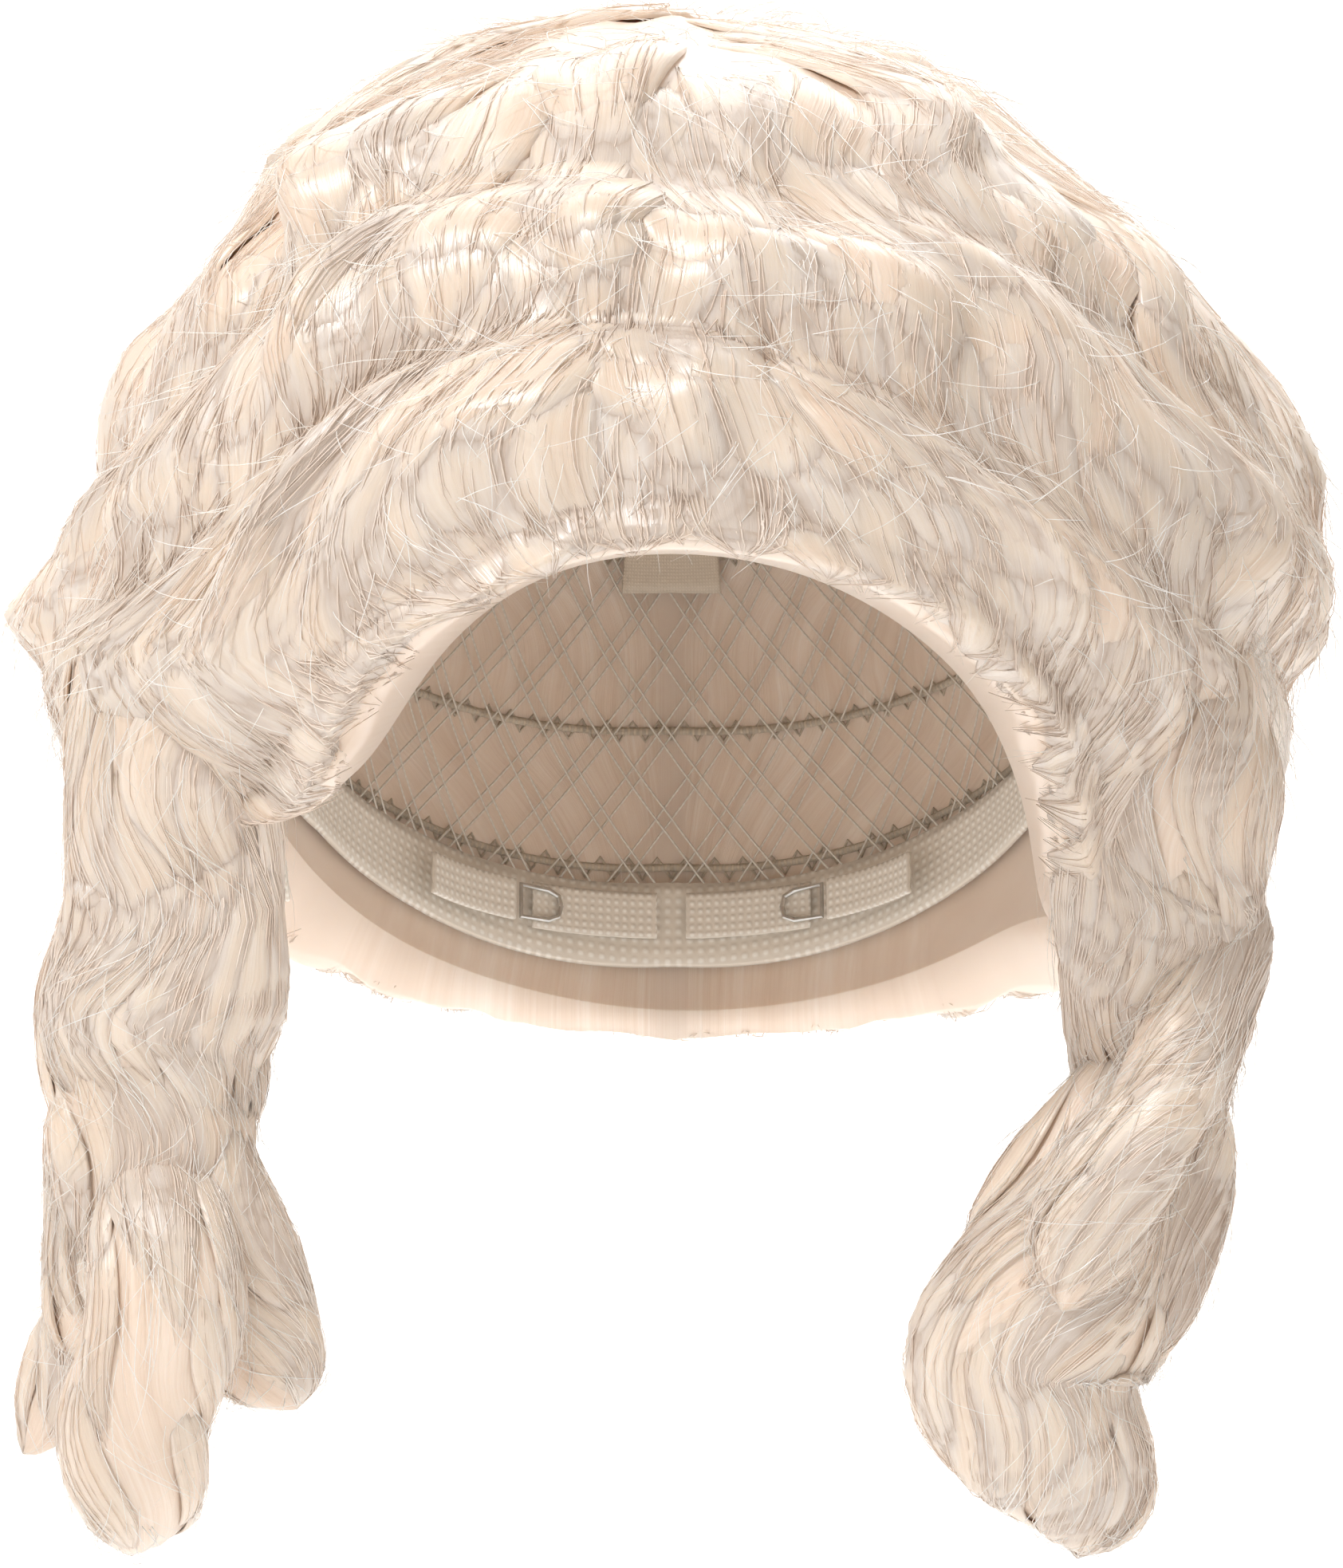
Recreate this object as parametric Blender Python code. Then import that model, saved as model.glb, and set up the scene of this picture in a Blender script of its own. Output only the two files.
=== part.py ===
"""Finger-waved costume wig with two long side locks.

Metres, +Z up. The face looks along -Y and the wearer's left is +X. The origin is the highest point
inside the cap, where the crown of the head touches it. The cap and the hair share one pair of polar
coordinates round the hair's whorl: psi runs round the head from the forehead, and f runs from the
whorl, 0, to the hem of the hair, 1.
"""

import math

import bmesh
import bpy
import numpy as np
from mathutils import Matrix, Vector

# Head that the cap fits, about 55 to 58 cm round, measured from the widest level of the hair.
CENTRE = Vector((0.0, 0.0, -0.0705))
HEAD = {"left": 0.0745, "right": 0.0745, "front": 0.095, "back": 0.095, "up": 0.0705, "down": 0.130}
# Outer form of the hair, waves left out.
HAIR = {"left": 0.1175, "right": 0.1165, "front": 0.114, "back": 0.122, "up": 0.1035, "down": 0.128}
WHORL_TILT = math.radians(38)
# Polar angle of the hem, in degrees, at each psi from the forehead to the nape.
HEM_PSI = (0, 45, 60, 90, 110, 130, 150, 180)
HEM_PHI = (119.5, 122, 122, 114, 108, 103, 101, 99)

GAP = 0.0003
# Layers of the cap, as distances out from the head.
NET_THICKNESS = 0.0005
BAND_THICKNESS = 0.0012
RIBBON_START = 0.0013
RIBBON_THICKNESS = 0.0005
TRACK_START = 0.0026
TRACK_THICKNESS = 0.0008
HAIR_START = 0.0045
HEM_LIFT = 0.0040

# The hair lies in rows of waves between ridges. A ridge is where ridge_count(f) is a whole number.
RIDGES = 4
RIDGE_POWER = 2.2
WAVE_HEIGHT = 0.0045

FRONT_EDGE = 35
SIDE_EDGE = 110
BAND_TOP = 0.90
BAND_HEM = 0.985
NET_HEM = 0.885

TAB_PSI = 101
TAB_TOP = 0.0022
TAB_WIDTH = 0.022
TAB_LENGTH = 0.026
TAB_THICKNESS = 0.0010
TAPE_SIZE = (0.016, 0.008, 0.0008)

# The adjusters lie on a leaning cylinder that fits inside the nape: a point at its middle, its
# radius, and the way out of the nape there. Their hooks travel round its axis.
ADJUSTER_RADIUS = 0.0544
ADJUSTER_OUT = Vector((0.0, 0.908, -0.419)).normalized()
ADJUSTER_DOWN = Vector((0.0, -0.419, -0.908)).normalized()
ADJUSTER_PIVOT = Vector((0.0, 0.0308, -0.1172))
HOOK_WIRE = 0.0010

# The side locks hang in front of the ears. Each swings to and fro about its root, and its lower
# half sways sideways about an axis that is straight above its own weight.
LOCK_DEPTH = 0.018
LOCK_Y = -0.030
LOCK_ROOT_Z = -0.124
LOCK_BEND_Z = -0.180
LEFT_BEND_X = 0.0705
RIGHT_BEND_X = -0.0931
BEND_RADIUS = 0.0205
# Each station of a lock is its height, and its edges towards and away from the face, in mm.
LEFT_UPPER = ((-124, 73, 108), (-136, 70, 107.5), (-146, 70.5, 107.5), (-155, 70, 101))
LEFT_LOWER = (
    (-188, 55, 100),
    (-194, 52, 97),
    (-205, 44.5, 87),
    (-212, 40.5, 88),
    (-225, 50, 87),
    (-238, 61, 86.5),
    (-247, 71, 77),
)
RIGHT_UPPER = ((-124, 72.5, 110), (-136, 71.5, 115), (-146, 73, 119.5), (-155, 73, 114))
RIGHT_LOWER = (
    (-188, 73, 116),
    (-194, 71.5, 115.5),
    (-203, 72, 114.5),
    (-218, 77, 109),
    (-231, 82, 108),
    (-240, 86, 105),
    (-246, 92, 99),
)
MM = 0.001

MATERIALS = {
    "hair": ((0.86, 0.79, 0.70), 0.45, 0.0),
    "net": ((0.88, 0.84, 0.77), 0.85, 0.0),
    "elastic": ((0.90, 0.87, 0.82), 0.75, 0.0),
    "thread": ((0.84, 0.78, 0.68), 0.80, 0.0),
    "satin": ((0.93, 0.92, 0.89), 0.40, 0.0),
    "film": ((0.90, 0.84, 0.76), 0.30, 0.0),
    "steel": ((0.72, 0.72, 0.71), 0.30, 1.0),
}


def clear_scene():
    for obj in list(bpy.data.objects):
        bpy.data.objects.remove(obj)


def material(name):
    """The Principled material of that finish, made once."""
    found = bpy.data.materials.get(name)
    if found:
        return found
    colour, roughness, metallic = MATERIALS[name]
    made = bpy.data.materials.new(name)
    made.use_nodes = True
    shader = made.node_tree.nodes["Principled BSDF"]
    shader.inputs["Base Color"].default_value = (*colour, 1.0)
    shader.inputs["Roughness"].default_value = roughness
    shader.inputs["Metallic"].default_value = metallic
    return made


def add_object(name, bm, finish, angle=35):
    """A mesh object from a bmesh, with its faces turned outwards and its round sides smooth."""
    bmesh.ops.recalc_face_normals(bm, faces=bm.faces)
    mesh = bpy.data.meshes.new(name)
    bm.to_mesh(mesh)
    bm.free()
    mesh.shade_smooth()
    mesh.set_sharp_from_angle(angle=math.radians(angle))
    mesh.materials.append(material(finish))
    obj = bpy.data.objects.new(name, mesh)
    bpy.context.scene.collection.objects.link(obj)
    return obj


def polar_direction(psi, phi):
    """Unit vector at psi round the whorl and phi from it, both in radians. psi 0 is the forehead."""
    whorl = Vector((0, math.sin(WHORL_TILT), math.cos(WHORL_TILT)))
    forward = Vector((0, -math.cos(WHORL_TILT), math.sin(WHORL_TILT)))
    around = forward * math.cos(psi) + Vector((1, 0, 0)) * math.sin(psi)
    return whorl * math.cos(phi) + around * math.sin(phi)


def radius_of(form, direction):
    """Distance from CENTRE to an ellipsoid whose six half-axes may all differ."""
    x = direction.x / form["left" if direction.x > 0 else "right"]
    y = direction.y / form["back" if direction.y > 0 else "front"]
    z = direction.z / form["up" if direction.z > 0 else "down"]
    return 1 / math.sqrt(x * x + y * y + z * z)


def hem_angle(psi):
    """Polar angle of the hem at psi, in radians, the same on both sides."""
    turn = abs((math.degrees(psi) + 180) % 360 - 180)
    return math.radians(float(np.interp(turn, HEM_PSI, HEM_PHI)))


def ridge_count(f):
    return RIDGES * f**RIDGE_POWER


def ridge_place(count):
    """The f at which that ridge lies."""
    return (count / RIDGES) ** (1 / RIDGE_POWER)


def direction_at(psi, f):
    return polar_direction(psi, f * hem_angle(psi))


def on_head(psi, f, lift=0.0):
    direction = direction_at(psi, f)
    return CENTRE + direction * (radius_of(HEAD, direction) + lift)


def on_hair(psi, f):
    """Outer face of the hair: the form, plus the ridges, rolled in towards the head at the hem."""
    direction = direction_at(psi, f)
    full = radius_of(HAIR, direction) + WAVE_HEIGHT * math.cos(math.pi * ridge_count(f)) ** 2
    roll = max(0.0, (f - 0.93) / 0.07)
    least = radius_of(HEAD, direction) + HAIR_START + HEM_LIFT
    return CENTRE + direction * (least + (full - least) * math.sqrt(max(0.0, 1 - 0.75 * roll**2)))


def grid_faces(bm, points, ring=False):
    """Verts and quads for rows of points. A ring closes each row on itself."""
    rows = [[bm.verts.new(p) for p in row] for row in points]
    columns = len(rows[0])
    for above, below in zip(rows, rows[1:]):
        for i in range(columns if ring else columns - 1):
            j = (i + 1) % columns
            bm.faces.new((above[i], above[j], below[j], below[i]))
    return rows


def hair_section(name, psi_range, f_range, columns, rows):
    """A block of hair on the cap: a patch beside the head, extruded out to the hair's outer face."""
    f_low, f_high = f_range
    psi_low, psi_high = (math.radians(p) for p in psi_range)
    turns = [psi_low + (psi_high - psi_low) * i / columns for i in range(columns + 1)]
    drops = [f_low + (f_high - f_low) * j / rows for j in range(rows + 1)]
    bm = bmesh.new()
    inner = grid_faces(bm, [[on_head(p, f, HAIR_START) for p in turns] for f in drops])
    outer_of = {
        inner[j][i].co.to_tuple(7): on_hair(turns[i], drops[j])
        for j in range(rows + 1)
        for i in range(columns + 1)
    }
    extruded = bmesh.ops.extrude_face_region(bm, geom=bm.faces[:])["geom"]
    for vert in (g for g in extruded if isinstance(g, bmesh.types.BMVert)):
        vert.co = outer_of[vert.co.to_tuple(7)]
    return add_object(name, bm, "hair")


def crown_section(name, f_high, columns, rows):
    """The hair round the whorl: a bowl beside the head, extruded out to the hair's outer face."""
    bm = bmesh.new()
    turns = [2 * math.pi * i / columns for i in range(columns)]
    drops = [f_high * (j + 1) / rows for j in range(rows)]
    outer_of = {}
    rings = grid_faces(bm, [[on_head(p, f, HAIR_START) for p in turns] for f in drops], ring=True)
    for j, f in enumerate(drops):
        for i, psi in enumerate(turns):
            outer_of[rings[j][i].co.to_tuple(7)] = on_hair(psi, f)
    top = bm.verts.new(on_head(0, 0, HAIR_START))
    outer_of[top.co.to_tuple(7)] = on_hair(0, 0)
    for i in range(columns):
        bm.faces.new((top, rings[0][(i + 1) % columns], rings[0][i]))
    extruded = bmesh.ops.extrude_face_region(bm, geom=bm.faces[:])["geom"]
    for vert in (g for g in extruded if isinstance(g, bmesh.types.BMVert)):
        vert.co = outer_of[vert.co.to_tuple(7)]
    return add_object(name, bm, "hair")


def solidify(obj, thickness):
    """Gives an open patch its thickness, outwards along its normals."""
    made = obj.modifiers.new("thickness", "SOLIDIFY")
    made.thickness = thickness
    made.offset = 1.0
    made.use_even_offset = True
    return obj


def outward(bm):
    """Turns every face of an open patch away from the head's centre."""
    bm.normal_update()
    for face in bm.faces:
        if face.normal.dot(face.calc_center_median() - CENTRE) < 0:
            face.normal_flip()


def patch_object(name, bm, finish, thickness):
    outward(bm)
    mesh = bpy.data.meshes.new(name)
    bm.to_mesh(mesh)
    bm.free()
    mesh.shade_smooth()
    mesh.set_sharp_from_angle(angle=math.radians(40))
    mesh.materials.append(material(finish))
    obj = bpy.data.objects.new(name, mesh)
    bpy.context.scene.collection.objects.link(obj)
    return solidify(obj, thickness)


def cap_band(name, psi_range, f_range, columns, finish, start, thickness):
    """A strip of the cap along the head, between two psi and two f."""
    psi_low, psi_high = (math.radians(p) for p in psi_range)
    turns = [psi_low + (psi_high - psi_low) * i / columns for i in range(columns + 1)]
    f_low, f_high = f_range
    drops = [f_low, (f_low + f_high) / 2, f_high]
    bm = bmesh.new()
    grid_faces(bm, [[on_head(p, f, start) for p in turns] for f in drops])
    return patch_object(name, bm, finish, thickness)


def cap_ring(name, f_centre, width, columns, start, thickness):
    """A weft track: a narrow band right round the whorl, which the hair is sewn to."""
    bm = bmesh.new()
    turns = [2 * math.pi * i / columns for i in range(columns)]
    half = width / 2 / (0.1 * hem_angle(0))
    drops = [f_centre - half, f_centre + half]
    grid_faces(bm, [[on_head(p, f, start) for p in turns] for f in drops], ring=True)
    return patch_object(name, bm, "thread", thickness)


def crown_net(columns, rows):
    """The stretch net that covers the head down to the bands."""
    bm = bmesh.new()
    turns = [2 * math.pi * i / columns for i in range(columns)]
    drops = [NET_HEM * (j + 1) / rows for j in range(rows)]
    rings = grid_faces(bm, [[on_head(p, f) for p in turns] for f in drops], ring=True)
    top = bm.verts.new(on_head(0, 0))
    for i in range(columns):
        bm.faces.new((top, rings[0][(i + 1) % columns], rings[0][i]))
    return patch_object("crown_net", bm, "net", NET_THICKNESS)


def sagittal_point(lean, swing, lift):
    """Point over the head: swing from straight up towards the face, lean to the wearer's left."""
    direction = Vector((0, -math.sin(swing), math.cos(swing))) * math.cos(lean)
    direction += Vector((math.sin(lean), 0, 0))
    return CENTRE + direction * (radius_of(HEAD, direction) + lift)


def cap_ribbon(name, lean_degrees, swing_range, columns=24, half_width=0.0045):
    """An elastic ribbon that runs from the forehead over the crown towards the nape."""
    low, high = (math.radians(s) for s in swing_range)
    lean = math.radians(lean_degrees)
    half = half_width / 0.085
    swings = [low + (high - low) * i / columns for i in range(columns + 1)]
    bm = bmesh.new()
    grid_faces(
        bm,
        [[sagittal_point(lean + side * half, s, RIBBON_START) for s in swings] for side in (-1, 0, 1)],
    )
    return patch_object(name, bm, "elastic", RIBBON_THICKNESS)


def tangent_frame(psi, f, lift):
    """Matrix whose X runs along the head, Y down it and Z out of it, at that place."""
    origin = on_head(psi, f, lift)
    side = (on_head(psi + 0.02, f, lift) - on_head(psi - 0.02, f, lift)).normalized()
    down = (on_head(psi, f + 0.01, lift) - on_head(psi, f - 0.01, lift)).normalized()
    out = side.cross(down).normalized()
    if out.dot(origin - CENTRE) < 0:
        out, side = -out, -side
    down = out.cross(side)
    return Matrix.Translation(origin) @ Matrix((side, down, out)).transposed().to_4x4()


def plate(name, frame, outline, low, high, finish):
    """A flat plate: an outline in a frame's X and Y, extruded from low to high along its Z."""
    bm = bmesh.new()
    face = bm.faces.new([bm.verts.new((x, y, low)) for x, y in outline])
    extruded = bmesh.ops.extrude_face_region(bm, geom=[face])["geom"]
    moved = [g for g in extruded if isinstance(g, bmesh.types.BMVert)]
    bmesh.ops.translate(bm, verts=moved, vec=(0, 0, high - low))
    obj = add_object(name, bm, finish)
    obj.matrix_world = frame
    return obj


def rectangle(width, top, bottom):
    return [(-width / 2, top), (width / 2, top), (width / 2, bottom), (-width / 2, bottom)]


def tongue(width, top, bottom, steps=8):
    """Outline of an ear tab: straight sides and a round end."""
    radius = width / 2
    outline = [(-radius, top), (radius, top)]
    for i in range(steps + 1):
        turn = math.pi * i / steps
        outline.append((radius * math.cos(turn), bottom - radius + radius * math.sin(turn)))
    return outline


def ear_tab(side, sign):
    """A lace tab in front of the ear, with the bendable steel stay that is sewn to its outer face."""
    frame = tangent_frame(sign * math.radians(TAB_PSI), BAND_HEM, 0.0)
    outline = tongue(TAB_WIDTH, TAB_TOP, TAB_TOP + TAB_LENGTH)
    plate(f"ear_tab_{side}", frame, outline, 0, TAB_THICKNESS, "elastic")
    stay_base = TAB_THICKNESS + GAP
    outline = rectangle(0.003, TAB_TOP + 0.002, TAB_TOP + TAB_LENGTH - 0.004)
    plate(f"ear_stay_{side}", frame, outline, stay_base, stay_base + 0.0005, "steel")


def tape_tab():
    """The flat film patch inside the forehead band that wig tape sticks to."""
    width, height, thickness = TAPE_SIZE
    frame = tangent_frame(0, 0.945, -0.0016)
    outline = rectangle(width, -height / 2, height / 2)
    plate("tape_tab_front", frame, outline, -thickness, 0, "film")


def around_pivot(degrees, drop, radius):
    """Point on the arc that an adjuster's hook follows round the nape."""
    turn = math.radians(degrees)
    out = Vector((1, 0, 0)) * math.sin(turn) + ADJUSTER_OUT * math.cos(turn)
    return ADJUSTER_PIVOT + out * radius + ADJUSTER_DOWN * drop


def arc_strip(name, turn_range, drop_range, radius, thickness, finish, columns=6):
    """A strip on the adjusters' cylinder, given its inner radius."""
    low, high = turn_range
    turns = [low + (high - low) * i / columns for i in range(columns + 1)]
    bm = bmesh.new()
    grid_faces(bm, [[around_pivot(t, d, radius) for t in turns] for d in drop_range])
    return patch_object(name, bm, finish, thickness)


def hook_wire(name, sign, radius):
    """The adjuster's wire hook: a narrow closed loop with a rounded nose, on the cylinder."""
    curve = bpy.data.curves.new(name, "CURVE")
    curve.dimensions = "3D"
    curve.bevel_depth = HOOK_WIRE / 2
    curve.bevel_resolution = 2
    spline = curve.splines.new("POLY")
    corners = ((33.5, 0.0032), (27.0, 0.0030), (24.6, 0.0020), (24.0, 0.0))
    loop = [(t, d) for t, d in corners] + [(t, -d) for t, d in reversed(corners[:-1])]
    spline.points.add(len(loop) - 1)
    for point, (turn, drop) in zip(spline.points, loop):
        point.co = (*around_pivot(sign * turn, drop, radius) - ADJUSTER_PIVOT, 1)
    spline.use_cyclic_u = True
    curve.materials.append(material("steel"))
    obj = bpy.data.objects.new(name, curve)
    bpy.context.scene.collection.objects.link(obj)
    obj.location = ADJUSTER_PIVOT


def adjuster(side, sign):
    """The elastic strap that tightens the nape, its hook, and the row of pockets that the hook goes in."""
    pocket = ADJUSTER_RADIUS - 0.0018
    strap = ADJUSTER_RADIUS - 0.0030
    arc_strip(f"hook_pocket_{side}", (sign * 3, sign * 30), (-0.0045, 0.0045), pocket, 0.0008, "net")
    arc_strip(f"adjuster_strap_{side}", (sign * 35, sign * 60), (-0.004, 0.004), strap, 0.0009, "elastic")
    hook_wire(f"adjuster_hook_{side}", sign, pocket - GAP - HOOK_WIRE / 2)


def lock_ring(bm, height, near, far, depth, sides):
    """One upright-lock section: an ellipse across X and Y at that height."""
    middle, half = (near + far) / 2, abs(far - near) / 2
    turns = [2 * math.pi * i / sides for i in range(sides)]
    verts = [
        bm.verts.new((middle + half * math.cos(t), LOCK_Y + depth * math.sin(t), height)) for t in turns
    ]
    return [bm.edges.new((verts[i], verts[(i + 1) % sides])) for i in range(sides)]


def lock_solid(name, rings, sides=14):
    """A lock of hair: elliptical rings bridged from top to bottom and closed at both ends."""
    bm = bmesh.new()
    loops = [lock_ring(bm, *ring, sides) for ring in rings]
    for above, below in zip(loops, loops[1:]):
        bmesh.ops.bridge_loops(bm, edges=above + below)
    bmesh.ops.contextual_create(bm, geom=loops[0])
    bmesh.ops.contextual_create(bm, geom=loops[-1])
    return add_object(name, bm, "hair")


def stations(table, sign, depth_top, depth_end):
    """Rings from a table of heights and edges, with the depth shrinking evenly to its end."""
    last = max(len(table) - 1, 1)
    return [
        (z * MM, sign * near * MM, sign * far * MM, depth_top + (depth_end - depth_top) * i / last)
        for i, (z, near, far) in enumerate(table)
    ]


def upper_lock(name, table, sign, steps=3):
    """The upper half of a side lock, with a top that is round about its swing axis."""
    near, far = (v * MM for v in table[0][1:])
    rings = []
    for i in range(steps):
        rise = math.radians(80 - 80 * i / steps)
        height = LOCK_ROOT_Z + LOCK_DEPTH * math.sin(rise)
        rings.append((height, sign * near, sign * far, LOCK_DEPTH * math.cos(rise)))
    return lock_solid(name, rings + stations(table, sign, LOCK_DEPTH, LOCK_DEPTH))


def lower_lock(name, table, sign, bend_x, steps=4):
    """The lower half of a side lock, with a top that is round about its own sway axis."""
    rings = []
    for i in range(steps):
        rise = math.radians(75 - 75 * i / (steps - 1))
        half = BEND_RADIUS * math.cos(rise)
        height = LOCK_BEND_Z + BEND_RADIUS * math.sin(rise)
        rings.append((height, bend_x - sign * half, bend_x + sign * half, LOCK_DEPTH))
    return lock_solid(name, rings + stations(table, sign, LOCK_DEPTH, 0.007))


def flick(name, middle, size):
    """A small turned-out curl on the lower lock: a ball pressed to the given half-sizes."""
    bm = bmesh.new()
    bmesh.ops.create_uvsphere(bm, u_segments=12, v_segments=7, radius=1.0)
    bmesh.ops.scale(bm, verts=bm.verts, vec=size)
    bmesh.ops.translate(bm, verts=bm.verts, vec=middle)
    return add_object(name, bm, "hair")


def hang(obj, pivot, parent=None, parent_pivot=Vector()):
    """Puts an object's origin at its joint and, if it hangs from another, parents it there."""
    obj.data.transform(Matrix.Translation(-pivot))
    obj.parent = parent
    obj.location = pivot - parent_pivot


def side_lock(side, sign, upper_table, lower_table, bend_x):
    """A side lock in two halves. The lower half hangs from the upper one."""
    upper = upper_lock(f"side_lock_{side}_upper", upper_table, sign)
    lower = lower_lock(f"side_lock_{side}_lower", lower_table, sign, bend_x)
    root = Vector((sign * 0.090, LOCK_Y, LOCK_ROOT_Z))
    bend = Vector((bend_x, LOCK_Y, LOCK_BEND_Z))
    hang(upper, root)
    hang(lower, bend, upper, root)
    return lower, bend


def hair_sections():
    """The hair that is sewn to the cap, in rows between ridges and in sections round the head."""
    crown_f, row_two, row_three = (ridge_place(n) for n in (1, 2, 3))
    edge = 0.0016
    crown_section("crown_hair", crown_f - edge, 28, 5)
    rows = (
        ("upper_wave", crown_f + edge, row_two - edge, 4),
        ("middle_wave", row_two + edge, row_three - edge, 4),
        ("fringe", row_three + edge, 1.0, 5),
    )
    split = 0.12
    for name, low, high, steps in rows:
        hair_section(f"{name}_centre", (-FRONT_EDGE + split, FRONT_EDGE - split), (low, high), 8, steps)
        sides = "side_wave" if name == "fringe" else name
        for side, sign in (("left", 1), ("right", -1)):
            ends = (sign * (FRONT_EDGE + split), sign * (SIDE_EDGE - split))
            hair_section(f"{sides}_{side}", ends, (low, high), 8, steps)
    back = (("back_wave", crown_f + edge, row_three - edge, 7), ("nape_wave", row_three + edge, 1.0, 5))
    for name, low, high, steps in back:
        for side, sign in (("left", 1), ("right", -1)):
            ends = (sign * (SIDE_EDGE + split), sign * (180 - split))
            hair_section(f"{name}_{side}", ends, (low, high), 7, steps)


def cap_parts():
    """The cap: net, bands, ribbons, weft tracks, label and tape tab."""
    crown_net(40, 9)
    cap_band("forehead_band", (-78, 78), (BAND_TOP, BAND_HEM), 20, "elastic", 0, BAND_THICKNESS)
    for side, sign in (("left", 1), ("right", -1)):
        ends = (sign * 78.6, sign * 117.4)
        cap_band(f"ear_binding_{side}", ends, (BAND_TOP, BAND_HEM), 5, "elastic", 0, BAND_THICKNESS)
    cap_band("nape_band", (118, 242), (BAND_TOP, BAND_HEM), 16, "elastic", 0, BAND_THICKNESS)
    cap_ribbon("cap_ribbon_centre", 0, (-88, 66))
    cap_ribbon("cap_ribbon_left", 30, (-80, 58))
    cap_ribbon("cap_ribbon_right", -30, (-80, 58))
    for row, f_centre in enumerate((0.30, ridge_place(1), ridge_place(2), ridge_place(3)), start=1):
        cap_ring(f"weft_track_{row}", f_centre, 0.003, 36, TRACK_START, TRACK_THICKNESS)
    cap_band("care_label", (173, 187), (0.50, 0.575), 2, "satin", -0.0014, 0.0003)
    tape_tab()


def build():
    clear_scene()
    hair_sections()
    cap_parts()
    for side, sign in (("left", 1), ("right", -1)):
        ear_tab(side, sign)
        adjuster(side, sign)
    side_lock("left", 1, LEFT_UPPER, LEFT_LOWER, LEFT_BEND_X)
    lower, bend = side_lock("right", -1, RIGHT_UPPER, RIGHT_LOWER, RIGHT_BEND_X)
    inner = flick("inner_flick_right", (-0.0672, LOCK_Y, -0.2125), (0.0056, 0.009, 0.0100))
    outer = flick("outer_flick_right", (-0.1138, LOCK_Y, -0.2230), (0.0042, 0.007, 0.0085))
    for curl in (inner, outer):
        hang(curl, bend, lower, bend)


build()
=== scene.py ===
"""Platinum finger-waved wig: the hair and the finishes, built round the fixed frame.

Lengths are in metres and angles in degrees unless a name says otherwise. The hair's places use the
polar coordinates of the frame's design: psi runs round the head from the forehead, positive to the
wearer's left, phi runs from the whorl at the crown towards the hem, and wave counts the rows of
waves down the hair, from 0 at the whorl to 4 at the hem.
"""

import math

import bmesh
import bpy
import numpy as np
from bpy.props import FloatProperty, FloatVectorProperty, IntProperty, PointerProperty, StringProperty
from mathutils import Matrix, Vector


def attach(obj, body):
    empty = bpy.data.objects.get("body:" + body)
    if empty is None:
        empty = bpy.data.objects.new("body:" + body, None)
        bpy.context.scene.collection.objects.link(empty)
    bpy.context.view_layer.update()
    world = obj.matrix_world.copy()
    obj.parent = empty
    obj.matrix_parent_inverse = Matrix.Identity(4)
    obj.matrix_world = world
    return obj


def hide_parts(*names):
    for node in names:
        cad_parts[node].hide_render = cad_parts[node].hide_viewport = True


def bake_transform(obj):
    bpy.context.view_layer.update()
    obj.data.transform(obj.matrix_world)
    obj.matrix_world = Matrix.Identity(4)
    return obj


bl_info = {
    "name": "Finger-Waved Wig",
    "version": (1, 0, 0),
    "blender": (4, 5, 0),
    "location": "3D View > Sidebar > Wig",
    "description": "Builds the waved hair, side locks and cap of a platinum costume wig",
    "category": "Add Mesh",
}

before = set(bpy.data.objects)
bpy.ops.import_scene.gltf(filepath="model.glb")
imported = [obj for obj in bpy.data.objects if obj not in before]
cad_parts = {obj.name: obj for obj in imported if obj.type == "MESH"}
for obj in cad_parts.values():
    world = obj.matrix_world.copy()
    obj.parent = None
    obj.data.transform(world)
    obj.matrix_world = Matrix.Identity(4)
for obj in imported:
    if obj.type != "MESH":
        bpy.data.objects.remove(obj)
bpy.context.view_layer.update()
ROOT = "cap_and_hair"
MM = 0.001

# The head inside the cap and the outer form of the hair, as half-axes of ellipsoids about CENTRE.
CENTRE = np.array((0.0, 0.0, -0.0705))
HEAD = {"side": 0.0745, "front": 0.095, "back": 0.095, "up": 0.0705, "down": 0.130}
HAIR = {"side": 0.1110, "front": 0.1105, "back": 0.1180, "up": 0.1030, "down": 0.126}
WHORL_TILT = 38
INNER_LIFT = 0.0030

# Polar angle of each crest, and of the hem, at every 15 degrees of psi, from -180 to 180.
CREST_PSI = np.arange(-180, 181, 15)
CREST_1 = (
    34, 35, 38, 43, 48, 54, 62, 70, 74, 74, 66, 61, 61, 60, 62, 72, 74, 70, 62, 54, 48, 43, 38, 35, 34,
)
CREST_2 = (
    57, 58, 61, 66, 72, 79, 86, 91, 93, 89, 83, 84, 86, 90, 87, 91, 98, 97, 90, 80, 72, 66, 61, 58, 57,
)
CREST_3 = (
    79, 79, 81, 85, 90, 96, 103, 108, 111, 107, 101, 101, 101,
    105, 110, 115, 115, 111, 104, 96, 90, 85, 81, 79, 79,
)
HEM = (
    100, 100, 102, 104, 106, 110, 118, 128, 133, 131, 124, 119, 118,
    119, 122, 125, 129, 132, 134, 130, 118, 108, 104, 101, 100,
)

# How far the strands slant outwards from the parting line at each place down the rows of waves.
SLANT_WAVE = (0.0, 0.5, 0.97, 1.45, 1.97, 2.48, 2.95, 3.3, 3.6, 3.85, 4.2)
SLANT_RIGHT = (25, 55, 48, -6, 58, -6, 64, 44, 0, -34, -34)
SLANT_LEFT = (25, 55, 48, -6, 58, -6, 62, 50, 38, 34, 24)

# A row's bump starts this share of a row above its crest, and its top stands off its middle.
WAVE_LAG = 0.16
WAVE_SKEW = 0.80

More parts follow.
